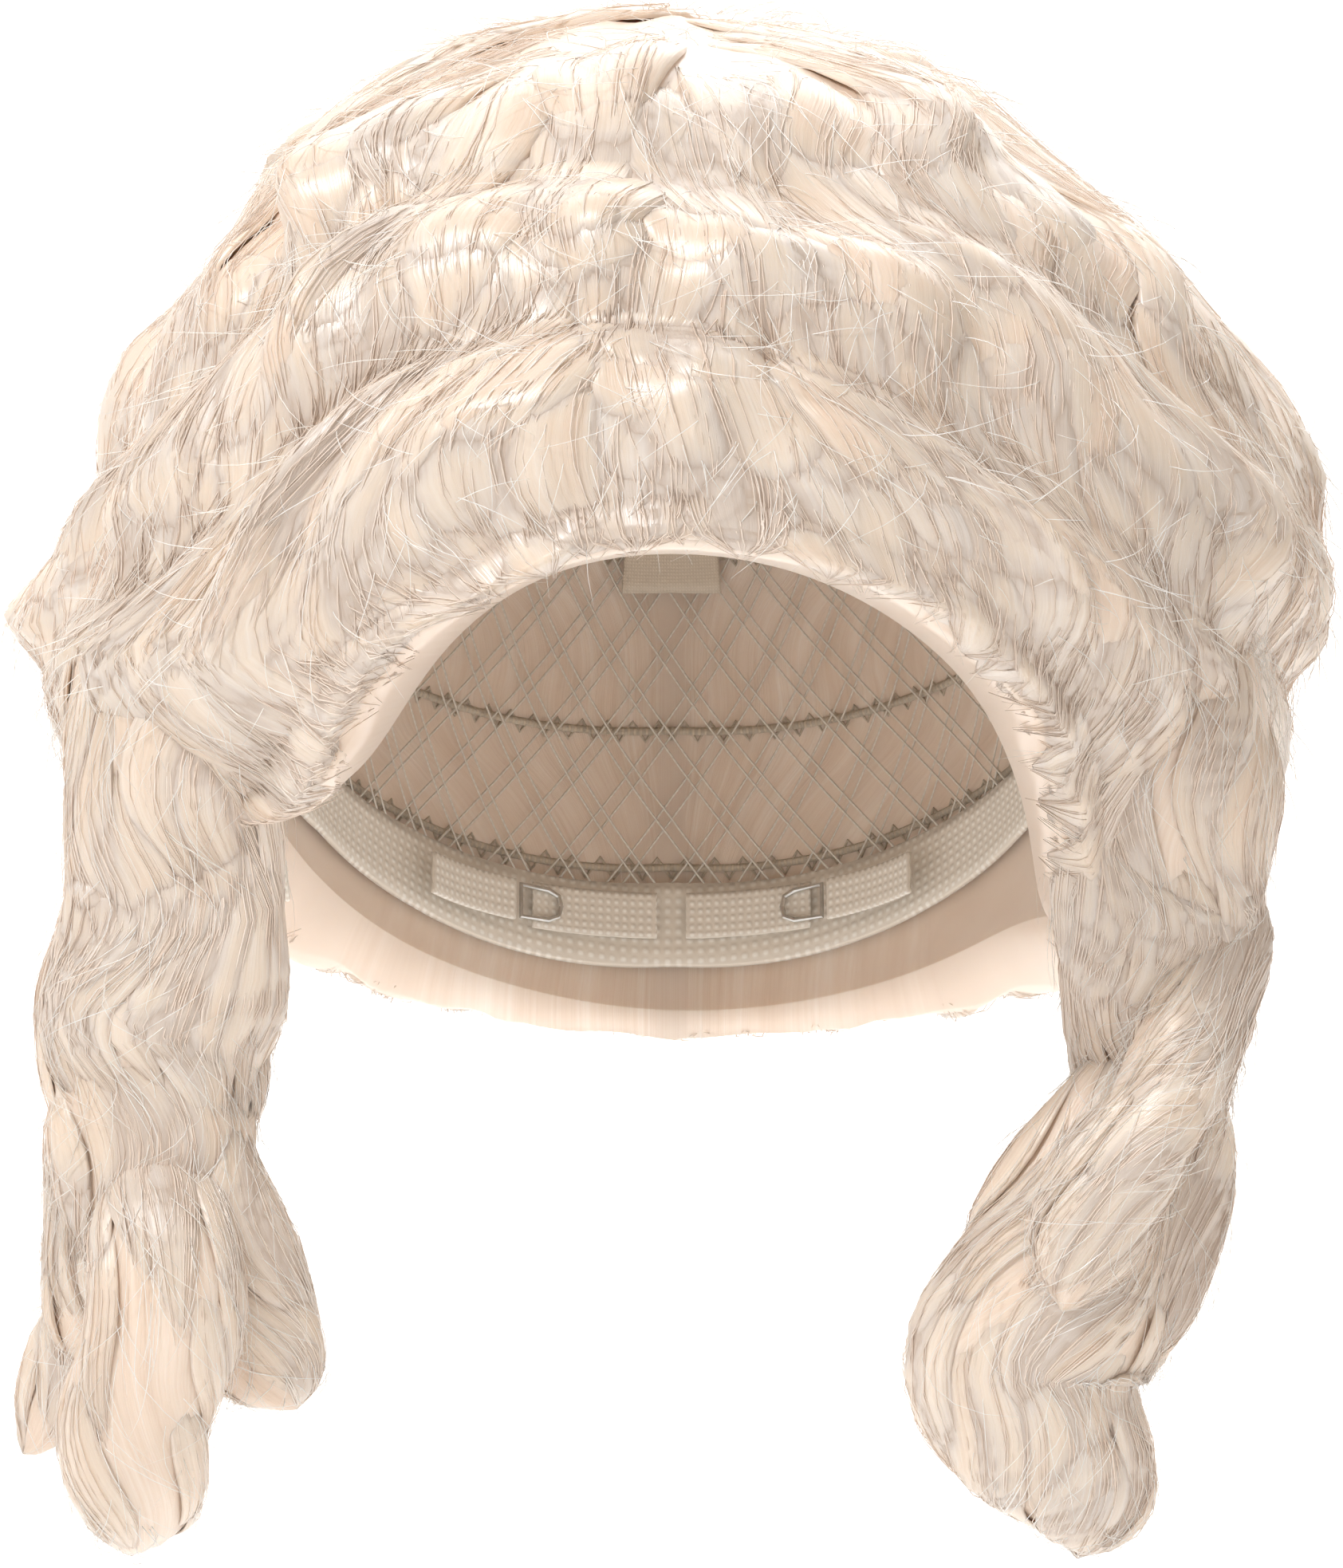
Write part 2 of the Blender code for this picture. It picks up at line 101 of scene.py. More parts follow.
# Height of the bumps in mm at places down the rows of waves.
RELIEF_WAVE = (0.0, 0.8, 1.4, 2.5, 3.4, 4.2)
RELIEF = (1.5, 3.6, 6.6, 8.4, 8.6, 6.0)

# Width of the hair against the plain form, by height: (height, wearer's right, wearer's left).
GIRTH = (
    (0.040, 1.06, 1.02),
    (0.023, 0.99, 1.02),
    (0.010, 0.985, 0.88),
    (-0.003, 0.88, 0.98),
    (-0.016, 0.865, 0.955),
    (-0.029, 0.88, 0.96),
    (-0.049, 0.925, 1.045),
    (-0.062, 0.94, 1.045),
    (-0.075, 1.035, 1.01),
    (-0.085, 1.01, 1.00),
    (-0.100, 0.955, 0.98),
    (-0.140, 0.93, 0.94),
)


# ---------------------------------------------------------------- shape of the head and the hair


def smooth_table(psi_points, values, spread=7.0):
    """A table round the head at every degree: the points joined by lines, then blurred by a
    Gaussian of the given spread."""
    grid = np.arange(-180, 180)
    line = np.interp(grid, psi_points, values)
    offset = np.minimum(np.arange(360), 360 - np.arange(360))
    kernel = np.exp(-0.5 * (offset / spread) ** 2)
    blurred = np.fft.ifft(np.fft.fft(line) * np.fft.fft(kernel / kernel.sum())).real
    return np.append(blurred, blurred[0])


CRESTS = np.array([smooth_table(CREST_PSI, row) for row in (CREST_1, CREST_2, CREST_3, HEM)])


def wrap(psi):
    return (np.asarray(psi, float) + 180) % 360 - 180


def crest_angles(psi):
    """Polar angle of the three crests and the hem at each psi."""
    grid = np.arange(-180, 181)
    return [np.interp(wrap(psi), grid, row) for row in CRESTS]


def phi_of(psi, wave):
    """Polar angle at a place down the waves: lines between the crests, eased over at each one."""
    first, second, third, hem = crest_angles(psi)
    wave = np.asarray(wave, float)
    knots = [np.zeros_like(first), first, second, third, hem, hem + 4]
    phi = np.zeros(np.broadcast(first, wave).shape)
    for row in range(5):
        share = np.clip(wave - row, 0, 1)
        phi = phi + share * (knots[row + 1] - knots[row])
    return phi


def direction(psi, phi):
    """Unit vectors at psi round the whorl and phi from it."""
    psi, phi = np.radians(psi), np.radians(phi)
    tilt = math.radians(WHORL_TILT)
    whorl = np.array((0, math.sin(tilt), math.cos(tilt)))
    forward = np.array((0, -math.cos(tilt), math.sin(tilt)))
    side = np.array((1.0, 0, 0))
    psi, phi = np.broadcast_arrays(psi, phi)
    around = np.cos(psi)[..., None] * forward + np.sin(psi)[..., None] * side
    return np.cos(phi)[..., None] * whorl + np.sin(phi)[..., None] * around


def form_radius(form, along):
    """Distance from CENTRE to the ellipsoid along unit vectors, its half-axes chosen by octant."""
    x = along[..., 0] / form["side"]
    y = along[..., 1] / np.where(along[..., 1] > 0, form["back"], form["front"])
    z = along[..., 2] / np.where(along[..., 2] > 0, form["up"], form["down"])
    return 1 / np.sqrt(x * x + y * y + z * z)


def girth(points):
    """Points with their x scaled by the GIRTH table at their height."""
    heights, right, left = np.array(GIRTH)[::-1].T
    z = points[..., 2]
    scale = np.where(points[..., 0] < 0, np.interp(z, heights, right), np.interp(z, heights, left))
    out = points.copy()
    out[..., 0] *= scale
    return out


def flow_label(psi, wave):
    """Nearly the same number all along one line of hair: psi less the way that the hair has moved
    sideways, which is the running sum of the tangent of its slant."""
    table = np.linspace(0, 5, 251)
    lean = np.tan(np.radians(np.interp(table, SLANT_WAVE, SLANT_RIGHT)))
    psi = wrap(psi)
    return psi - parting(psi) * np.interp(wave, table, np.cumsum(lean) * 28 * 0.02)


def parting(psi):
    """1 on the wearer's left and -1 on the right, eased over at the front and back partings."""
    return np.tanh(psi / 11) * np.tanh((180 - np.abs(psi)) / 14)


def wave_height(psi, wave):
    """Height of the waves above the plain form: a bump in each row that rises steeply out of the
    hollow above its crest and falls away slowly below it, parted into curls that run with the hair."""
    offset = wave + WAVE_LAG
    row, share = np.floor(offset), np.clip(offset - np.floor(offset), 0, 1)
    bump = np.sin(np.pi * share**WAVE_SKEW)
    size = np.interp(offset, RELIEF_WAVE, RELIEF) * MM
    size = size * (1 - 0.14 * (1 + np.tanh((wrap(psi) - 8) / 14)))
    size = size * (1 - 0.35 * np.clip((np.abs(wrap(psi)) - 40) / 40, 0, 1) * np.clip(wave - 1.2, 0, 1))
    label = np.radians(flow_label(psi, wave))
    curls = 0.34 * np.sin(17 * label + 2.1 * row) + 0.28 * np.sin(29 * label + 4.4 * row)
    turn, away = np.radians(psi), parting(wrap(psi)) ** 4
    curls = away * curls + (1 - away) * 0.30 * np.sin(26 * turn + 1.9 * row + 2.0 * share)
    return size * bump * (1 + curls) - 0.25 * size


def hair_point(psi, wave, lift=0.0):
    """Points on the outside of the hair, rolled in towards the head at the hem. lift is outwards."""
    along = direction(psi, phi_of(psi, wave))
    head = form_radius(HEAD, along) + INNER_LIFT + 0.004
    full = form_radius(HAIR, along) + wave_height(psi, wave)
    temple = np.exp(-(((np.abs(wrap(psi)) - 72) / 22) ** 2)) * np.clip((wave - 2.9) / 0.9, 0, 1)
    full = full - 0.010 * temple
    roll = np.clip((wave - 3.55) / 0.95, 0, 1)
    rolled = head + (full - head) * np.sqrt(1 - 0.95 * roll**2)
    return girth(CENTRE + along * (rolled + lift)[..., None])


def head_point(psi, phi, lift=0.0):
    along = direction(psi, phi)
    return CENTRE + along * (form_radius(HEAD, along) + lift)[..., None]


def slant(psi, wave):
    """Sideways slant of the strands, in degrees, positive towards the wearer's left. It is mirrored
    about the parting line at the front and back."""
    psi = wrap(psi)
    left = 0.5 + 0.5 * np.tanh((psi - 6) / 8)
    lean_right, lean_left = (np.interp(wave, SLANT_WAVE, row) for row in (SLANT_RIGHT, SLANT_LEFT))
    lean = lean_right * (1 - left) + lean_left * left
    edge = np.clip((np.abs(psi) - 58) / 30, 0, 1) * np.clip((wave - 3.4) / 0.4, 0, 1)
    return lean * parting(psi) * (1 - 0.7 * edge)


# ---------------------------------------------------------------- meshes


def add_mesh(name, points, quads, tris=(), uv=None, tone=None, smooth=True):
    """A mesh object from whole arrays. uv and tone hold one value for each point."""
    points = np.asarray(points, np.float32).reshape(-1, 3)
    quads = np.asarray(quads, np.int32).reshape(-1, 4)
    tris = np.asarray(tris, np.int32).reshape(-1, 3)
    loops = np.concatenate((quads.ravel(), tris.ravel()))
    sizes = np.concatenate((np.full(len(quads), 4), np.full(len(tris), 3)))
    starts = np.concatenate(((0,), np.cumsum(sizes)[:-1]))
    mesh = bpy.data.meshes.new(name)
    mesh.vertices.add(len(points))
    mesh.vertices.foreach_set("co", points.ravel())
    mesh.loops.add(len(loops))
    mesh.loops.foreach_set("vertex_index", loops.astype(np.int32))
    mesh.polygons.add(len(sizes))
    mesh.polygons.foreach_set("loop_start", starts.astype(np.int32))
    if uv is not None:
        layer = mesh.uv_layers.new(name="along")
        layer.uv.foreach_set("vector", np.asarray(uv, np.float32).reshape(-1, 2)[loops].ravel())
    if tone is not None:
        attribute = mesh.attributes.new("tone", "FLOAT", "POINT")
        attribute.data.foreach_set("value", np.asarray(tone, np.float32).ravel())
    mesh.update(calc_edges=True)
    mesh.validate()
    if smooth:
        mesh.shade_smooth()
    obj = bpy.data.objects.new(name, mesh)
    bpy.context.scene.collection.objects.link(obj)
    return obj


def grid_quads(rows, columns, ring):
    """Quads of a grid of points, row after row. A ring joins the last column to the first."""
    j = np.arange(rows - 1)[:, None]
    i = np.arange(columns if ring else columns - 1)[None, :]
    k, here, below = (i + 1) % columns, j * columns, (j + 1) * columns
    return np.stack((here + i, here + k, below + k, below + i), -1).reshape(-1, 4)


def signed_volume(points, quads, tris=()):
    """Six times the volume inside a closed mesh: the sum of each corner triangle's triple product
    about the middle. It is negative where the faces point inwards. Axes before the points' own are
    kept, one mesh for each."""
    points = points - points.mean(-2, keepdims=True)
    corners = np.concatenate((quads[:, :3], quads[:, (0, 2, 3)], np.reshape(tris, (-1, 3)).astype(int)))
    a, b, c = (points[..., corners[:, i], :] for i in range(3))
    return np.sum(np.cross(a, b) * c, axis=(-2, -1))


def shell(name, outer, inner, ring, uv=None):
    """A closed sheet between two grids of points. The edges are joined all round, and a ring has only
    two."""
    rows, columns = outer.shape[:2]
    count = rows * columns
    quads = grid_quads(rows, columns, ring)
    faces = [quads, quads[:, ::-1] + count]
    border = [np.arange(columns), np.arange(columns)[::-1] + (rows - 1) * columns]
    if not ring:
        border.append(np.arange(rows) * columns + columns - 1)
        border.append(np.arange(rows)[::-1] * columns)
    for edge in border:
        ends = np.roll(edge, -1) if ring else edge[1:]
        starts = edge if ring else edge[:-1]
        faces.append(np.stack((ends, starts, starts + count, ends + count), -1))
    points, faces = np.concatenate((outer.reshape(-1, 3), inner.reshape(-1, 3))), np.concatenate(faces)
    if signed_volume(points, faces) < 0:
        faces = faces[:, ::-1]
    both = None if uv is None else np.concatenate((uv.reshape(-1, 2), uv.reshape(-1, 2)))
    return add_mesh(name, points, faces, uv=both)


def unit(vectors):
    return vectors / np.maximum(np.linalg.norm(vectors, axis=-1, keepdims=True), 1e-9)


def tube_arrays(paths, radii, outs, sides, flat=1.0):
    """Closed tubes along many paths at once. paths is strands by steps by 3, radii is strands by
    steps, and outs gives each point's way out, so that a tube's first side faces out."""
    strands, steps = paths.shape[:2]
    tangent = unit(np.gradient(paths, axis=1))
    across = unit(np.cross(tangent, outs))
    out = np.cross(across, tangent)
    turn = 2 * np.pi * np.arange(sides) / sides - np.pi / 2
    ring = np.cos(turn)[:, None] * across[:, :, None] + flat * np.sin(turn)[:, None] * out[:, :, None]
    points = paths[:, :, None] + radii[:, :, None, None] * ring
    quads = grid_quads(steps, sides, True)[:, ::-1]
    quads = quads[None] + (np.arange(strands) * steps * sides)[:, None, None]
    fan = np.array([(0, i, i + 1) for i in range(1, sides - 1)])
    first = fan[None] + (np.arange(strands) * steps * sides)[:, None, None]
    last = fan[None, :, ::-1] + (np.arange(strands) * steps * sides + (steps - 1) * sides)[:, None, None]
    return points, quads.reshape(-1, 4), np.concatenate((first, last)).reshape(-1, 3)


def tubes(name, paths, radii, outs, sides=3, tone=None, flat=1.0):
    """A piece made of many closed tubes, with u across and v along each one."""
    points, quads, tris = tube_arrays(paths, radii, outs, sides, flat)
    strands, steps = paths.shape[:2]
    length = np.cumsum(np.linalg.norm(np.diff(paths, axis=1, prepend=paths[:, :1]), axis=2), axis=1)
    u = np.broadcast_to(np.arange(sides) / sides, (strands, steps, sides))
    v = np.broadcast_to(length[:, :, None], (strands, steps, sides))
    tones = None if tone is None else np.repeat(tone, steps * sides)
    return add_mesh(name, points, quads, tris, uv=np.stack((u, v), -1), tone=tones, smooth=sides > 3)


# Points round a clump, of which every one above its middle is a ridge or a groove.
RING = 20
RIDGE = 0.00012


def clump_profile(rng, clumps, arch):
    """Cross-sections of clumps, as places across from -1 to 1 and heights: a low dome over a shallow
    underside, with a ridge or a groove of its own at each column, as in brushed hair."""
    turn = 2 * np.pi * np.arange(RING) / RING
    rise = np.maximum(np.sin(turn), 0) ** 0.8 - 0.30 * np.maximum(-np.sin(turn), 0)
    ridges = rng.normal(0, RIDGE, (clumps, RING, 1)) * np.maximum(np.sin(turn), 0)[None, :, None]
    return np.cos(turn)[None, :, None], arch * rise[None, :, None] + ridges


def clump_mesh(name, points, half_width, tones):
    """A piece of many clumps. points is clumps by columns by steps. Each clump is closed by fans at
    its root and its tip, u is the real distance across it and v the distance along it."""
    clumps, columns, steps = points.shape[:3]
    rings = points.transpose(0, 2, 1, 3)
    quads = grid_quads(steps, columns, True)
    base = (np.arange(clumps) * columns * steps)[:, None, None]
    fan = np.array([(0, i, i + 1) for i in range(1, columns - 1)])
    turn = 2 * np.pi * np.arange(columns) / columns
    top = columns // 4
    caps = np.concatenate((fan[:, ::-1], fan + (steps - 1) * columns))
    flip = (signed_volume(rings.reshape(clumps, -1, 3), quads, caps) < 0)[:, None, None]
    quads, first = quads[None] + base, fan[None, :, ::-1] + base
    last = fan[None] + base + (steps - 1) * columns
    quads = np.where(flip, quads[..., ::-1], quads)
    first, last = np.where(flip, first[..., ::-1], first), np.where(flip, last[..., ::-1], last)
    middle = rings[:, :, top]
    length = np.cumsum(np.linalg.norm(np.diff(middle, axis=1, prepend=middle[:, :1]), axis=2), axis=1)
    own = 0.05 * np.arange(clumps)[:, None, None]
    u = own + half_width * np.cos(turn)[None, None, :] + 0 * length[:, :, None]
    v = length[:, :, None] + own + 0 * u
    uv = np.stack((u, v), -1)
    ends = np.concatenate((first, last)).reshape(-1, 3)
    return add_mesh(name, rings, quads, ends, uv, np.repeat(tones, steps * columns))


# ---------------------------------------------------------------- materials


def linear(code):
    """Linear colour of an sRGB hex value such as 'f0e6d8'."""
    parts = [int(code[i : i + 2], 16) / 255 for i in (0, 2, 4)]
    return [c / 12.92 if c <= 0.04045 else ((c + 0.055) / 1.055) ** 2.4 for c in parts] + [1.0]


def node(tree, kind, inputs=None, links=None, **settings):
    """Adds a node with its settings, input values and links from other nodes' outputs."""
    made = tree.nodes.new(kind)
    for name, value in settings.items():
        setattr(made, name, value)
    for name, value in (inputs or {}).items():
        made.inputs[name].default_value = value
    for name, source in (links or {}).items():
        tree.links.new(source, made.inputs[name])
    return made


def new_material(name, roughness, metallic=0.0, **shader_values):
    """A material with a Principled shader whose even values are set on its own sockets."""
    made = bpy.data.materials.new(name)
    made.use_nodes = True
    shader = made.node_tree.nodes["Principled BSDF"]
    shader.inputs["Roughness"].default_value = roughness
    shader.inputs["Metallic"].default_value = metallic
    for socket, value in shader_values.items():
        shader.inputs[socket.replace("_", " ")].default_value = value
    return made, made.node_tree, shader


def surface(tree, shader, pattern, stops, strength=0.0, distance=0.0003, relief=None):
    """Colours a shader through (place, hex colour) stops over a pattern and, where it has a strength,
    raises the pattern, or another one for its relief, by that distance."""
    colours = node(tree, "ShaderNodeValToRGB", links={"Fac": pattern})
    elements = colours.color_ramp.elements
    while len(elements) < len(stops):
        elements.new(0.5)
    for element, (place, code) in zip(elements, stops):
        element.position = place
        element.color = linear(code)
    tree.links.new(colours.outputs["Color"], shader.inputs["Base Color"])
    if strength:
        height = pattern if relief is None else relief
        depth = {"Strength": strength, "Distance": distance}
        bump = node(tree, "ShaderNodeBump", depth, {"Height": height})
        tree.links.new(bump.outputs["Normal"], shader.inputs["Normal"])


# Light passes from filament to filament, a few millimetres deep, warmest where it goes deepest.
SOFT = {"Subsurface_Weight": 0.35, "Subsurface_Scale": 0.0025, "Subsurface_Radius": (1.0, 0.8, 0.6)}
# A wave texture's scale counts in radians.
TURN = 6.283
# Acrylic fibre's gloss, with the bloom that its ends and crossings give.
FIBRE_GLOSS = {"Specular_IOR_Level": 0.8, "Sheen_Weight": 0.15}


def fibre_material(name, stops, roughness):
    """Acrylic wig fibre, extruded and heat-set: smooth round filaments that shine along their
    curves. Its colour drifts in patches of 22 mm, and each filament keeps a tone of its own."""
    made, tree, shader = new_material(name, roughness, Sheen_Roughness=0.4, **FIBRE_GLOSS)
    place = node(tree, "ShaderNodeTexCoord").outputs["Object"]
    drift = node(tree, "ShaderNodeTexNoise", {"Scale": 1 / 0.022, "Detail": 3.0}, {"Vector": place})
    own = node(tree, "ShaderNodeAttribute", attribute_name="tone").outputs["Fac"]
    both = node(
        tree, "ShaderNodeMix", {"Factor": 0.5}, {"A": drift.outputs["Fac"], "B": own}, data_type="FLOAT"
    )
    surface(tree, shader, both.outputs["Result"], stops)
    return made


def packed_fibre_material():
    """The same fibre packed in a lock: hundreds of filaments side by side. Real ones are under
    0.1 mm thick, and are drawn 0.45 mm apart so that they show, within strands of about 4 mm."""
    made, tree, shader = new_material("packed_acrylic_fibre_set_in_waves", 0.32, **FIBRE_GLOSS, **SOFT)
    along = node(tree, "ShaderNodeTexCoord").outputs["UV"]
    patterns = []
    for scale, more in (
        ((1 / 0.004, 1 / 0.06, 1.0), {"Detail": 2.0}),
        ((1 / 0.00045, 1 / 0.030, 1.0), {"Detail": 3.0, "Roughness": 0.65}),
    ):
        lines = node(tree, "ShaderNodeMapping", {"Scale": scale}, {"Vector": along}).outputs["Vector"]
        made_of = node(tree, "ShaderNodeTexNoise", {"Scale": 1.0, **more}, {"Vector": lines})
        patterns.append(made_of.outputs["Fac"])
    broad, fine = patterns
    both = node(tree, "ShaderNodeMix", {"Factor": 0.45}, {"A": broad, "B": fine}, data_type="FLOAT")
    stops = (0.30, "e4cdb9"), (0.5, "eedbca"), (0.70, "f8ebdf")
    surface(tree, shader, both.outputs["Result"], stops, 0.50, 0.0004, fine)
    return made


def woven_material(name, stops, pitch, roughness, strength):
    """Woven or knitted tape: ribs of the given pitch across the strip, with the same along it."""
    made, tree, shader = new_material(name, roughness, Sheen_Weight=0.25)
    along = node(tree, "ShaderNodeTexCoord").outputs["UV"]
    weave = node(tree, "ShaderNodeMath", operation="MULTIPLY")
    ribs = {"Scale": 1 / pitch / TURN, "Distortion": 0.4, "Detail": 1.0}
    for number, axis in enumerate("XY"):
        wave = node(tree, "ShaderNodeTexWave", ribs, {"Vector": along}, bands_direction=axis)
        tree.links.new(wave.outputs["Fac"], weave.inputs[number])
    surface(tree, shader, weave.outputs["Value"], stops, strength)
    return made


def brushed_material(name, stops, pitch, roughness):
    """A soft pad under brushed tape: short loops in rows of the given pitch, drawn through the whole
    pad, so that they show on every side of it."""
    made, tree, shader = new_material(name, roughness, Sheen_Weight=0.3)
    place = node(tree, "ShaderNodeTexCoord").outputs["Object"]
    bands = {"Scale": 1 / pitch / TURN, "Distortion": 1.5, "Detail": 2.0}
    rows = node(tree, "ShaderNodeTexWave", bands, {"Vector": place}, bands_direction="Z").outputs["Fac"]
    loops = node(tree, "ShaderNodeTexNoise", {"Scale": 1 / pitch, "Detail": 2.0}, {"Vector": place})
    both = node(
        tree, "ShaderNodeMix", {"Factor": 0.5}, {"A": rows, "B": loops.outputs["Fac"]}, data_type="FLOAT"
    )
    surface(tree, shader, both.outputs["Result"], stops, 0.5)
    return made


def speckled_material(name, stops, grain, roughness, metallic, strength):
    """A smooth or drawn surface with a faint grain of the given size in its colour and relief."""
    made, tree, shader = new_material(name, roughness, metallic)
    place = node(tree, "ShaderNodeTexCoord").outputs["Object"]
    speckle = node(tree, "ShaderNodeTexNoise", {"Scale": 1 / grain, "Detail": 4.0}, {"Vector": place})
    surface(tree, shader, speckle.outputs["Fac"], stops, strength, 0.0001)
    return made


MATERIALS = {}


def material_of(short):
    """The finish of that short name. All of them are made the first time."""
    if not MATERIALS:
        make_finishes()
    return MATERIALS[short]


def make_finishes():
    """Makes all finishes of the wig, by short name."""
    hair_tones = (0.25, "ecd8c7"), (0.5, "f4e4d6"), (0.75, "fbf2e9")
    # The loose hairs are the same fibre as the filaments, tinted near-white as a painted highlight for the
    # sparkle of single flyaways.
    loose_tones_painted_sparkle = (0.25, "fbf4ea"), (0.5, "fffcf6"), (0.75, "fffefc")
    tape_tones = (0.2, "e6ddd0"), (0.8, "f8f3ea")
    net_tones, thread_tones = ((0.2, "e8dfd2"), (0.8, "f7f1e8")), ((0.2, "d8c8b2"), (0.8, "efe4d4"))
    # The care label is white satin; its tones are darkened to beige as painted shade, for the shade inside the
    # cap.
    satin_tones_painted_shade, film_tones = ((0.2, "cdbfad"), (0.8, "dccfbf")), ((0.3, "ead9c6"), (0.7, "f1e3d2"))
    steel_tones, pad_tones = ((0.3, "c4c3c0"), (0.7, "d6d5d2")), ((0.25, "e6ddd0"), (0.75, "f8f3ea"))
    MATERIALS.update(
        filament=fibre_material("acrylic_wig_filament_heat_set", hair_tones, 0.34),
        # Loose hairs: near-white tones as a painted highlight for their sparkle, over a tone of their own.
        loose=fibre_material("loose_acrylic_hair_painted_sparkle", loose_tones_painted_sparkle, 0.22),
        packed=packed_fibre_material(),
        net=woven_material("knitted_ivory_stretch_net", net_tones, 0.0006, 0.8, 0.4),
        elastic=woven_material("woven_ivory_elastic_tape", tape_tones, 0.0008, 0.7, 0.6),
        pad=brushed_material("brushed_elastic_pad", pad_tones, 0.0008, 0.85),
        thread=woven_material("machine_sewn_weft_thread", thread_tones, 0.0006, 0.75, 0.6),
        # Care label: white satin darkened to beige as painted shade.
        satin=woven_material("satin_label_painted_shade", satin_tones_painted_shade, 0.0003, 0.35, 0.3),
        film=speckled_material("cast_polyurethane_film", film_tones, 0.004, 0.25, 0.0, 0.1),
        steel=speckled_material("nickel_plated_drawn_steel", steel_tones, 0.0015, 0.28, 1.0, 0.15),
    )


def finish(obj, short, body=ROOT, nodes=()):
    """Gives a piece its material and its body, and hides the frame nodes that it stands for."""
    obj.data.materials.clear()
    obj.data.materials.append(material_of(short))
    if body:
        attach(obj, body)
    if nodes:
        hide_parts(*nodes)
    return obj


# ---------------------------------------------------------------- settings


class WigHairSettings(bpy.types.PropertyGroup):
    """Sizes of the strands and locks of hair."""

    strand_width: FloatProperty(
        name="Strand Width", description="Width of one visible strand", default=0.30 * MM, unit="LENGTH"
    )
    lock_spacing: FloatProperty(
        name="Lock Spacing",
        description="Distance between locks along a row of waves",
        default=13.0 * MM,
        unit="LENGTH",
    )
    strands_per_lock: IntProperty(
        name="Strands per Lock", description="Single strands that lie on one lock", default=16
    )
    lock_round: FloatProperty(
        name="Lock Roundness",
        description="Height of a lock's middle over its edges",
        default=2.3 * MM,
        unit="LENGTH",
    )
    lock_cover: FloatProperty(
        name="Side Lock Cover", description="How many clumps deep the side locks are covered", default=1.95
    )
    drape_clumps: IntProperty(
        name="Draped Clumps",
        description="Clumps that run from the side waves over each side lock",
        default=52,
    )
    flyaways: IntProperty(name="Flyaways", description="Loose single hairs over the waves", default=4800)
    flyaway_width: FloatProperty(
        name="Flyaway Width", description="Width of a loose hair", default=0.20 * MM, unit="LENGTH"
    )
    seed: IntProperty(name="Seed", description="Start of the repeatable random draws", default=7)


class WigStageSettings(bpy.types.PropertyGroup):
    """Camera and backdrop."""

    distance: FloatProperty(
        name="Camera Distance", description="From the wig's middle", default=1.55, unit="LENGTH"
    )
    elevation: FloatProperty(name="Camera Elevation", description="Degrees above level", default=6.0)
    view_height: FloatProperty(
        name="View Height", description="Height that the picture takes in", default=0.285, unit="LENGTH"
    )
    target: FloatVectorProperty(
        name="Target", description="Where the camera looks", default=(0.0, 0.0, -0.1057), unit="LENGTH"
    )
    backdrop: StringProperty(
        name="Backdrop Colour", description="sRGB hex value of the backdrop", default="ffffff"
    )


# ---------------------------------------------------------------- the waved hair


def lock_paths(rng, psi, start, run, steps, spread=9):
    """Middle lines of locks: from each psi and starting wave, stepping down the rows for their run.
    Each step goes sideways by the tangent of the slant there."""
    locks = len(psi)
    wave = start[:, None] + run[:, None] * np.linspace(0, 1, steps)[None, :]
    turn = np.zeros((locks, steps))
    turn[:, 0] = psi
    own = rng.normal(0, 1, locks) * spread
    for i in range(1, steps):
        here = turn[:, i - 1]
        middle = (wave[:, i] + wave[:, i - 1]) / 2
        phi_low, phi_high = phi_of(here, wave[:, i - 1]), phi_of(here, wave[:, i])
        lean = np.radians(np.clip(slant(here, middle) + own, -68, 68))
        narrow = np.sin(np.radians(np.clip(phi_high, 12, 168)))
        turn[:, i] = here + np.tan(lean) * (phi_high - phi_low) / narrow
    return turn, wave


def lock_shape(rng, psi, start, run, settings, steps):
    """Clumps of waved hair, as a function that gives the points for places across the clumps,
    heights and lateness. A clump spreads to its width below its root and draws together at its tip,
    and it sinks at both ends."""
    turn, wave = lock_paths(rng, psi, start, run, steps)
    locks = len(psi)
    share = np.linspace(0, 1, steps)[None, None, :]
    draw = 0.50 + 0.68 * np.sin(np.pi * share**0.8) - 0.40 * share**3
    width = settings.lock_spacing * 0.80 * rng.uniform(0.75, 1.25, (locks, 1, 1))
    radius = 0.115 * np.sin(np.radians(np.clip(phi_of(turn, wave), 8, 172)))[:, None, :]
    ends = np.sin(np.pi * np.clip(0.06 + 0.90 * share, 0, 1)) ** 0.6
    own = rng.uniform(-0.0002, 0.0007, (locks, 1, 1))

    def place(across, height, late=0.0):
        turns = turn[:, None, :] + np.degrees(across * draw * width / radius)
        waves = np.clip(wave[:, None, :] + late + 0 * turns, 0.03, 4.62)
        lift = height * ends + own - 0.0040 * (1 - ends)
        return hair_point(turns, waves, lift + 0 * turns)

    return place, width


def strand_tubes(rng, points, centre, width, tones):
    """Paths, ways out, radii and tones of strands laid at the given points, tapered at both ends."""
    steps = points.shape[2]
    paths = points.reshape(-1, steps, 3)
    outs = unit(paths - centre)
    share = np.linspace(0, 1, steps)[None, :]
    taper = np.sin(np.pi * (0.12 + 0.82 * share)) ** 0.5
    radii = width / 2 * taper * rng.uniform(0.7, 1.25, (len(paths), 1))
    own = tones[:, None] + rng.normal(0, 0.08, points.shape[:2])
    return paths, outs, radii, np.clip(own, 0, 1).reshape(-1)


STRAND_STEPS = 9
FLAT = 0.6


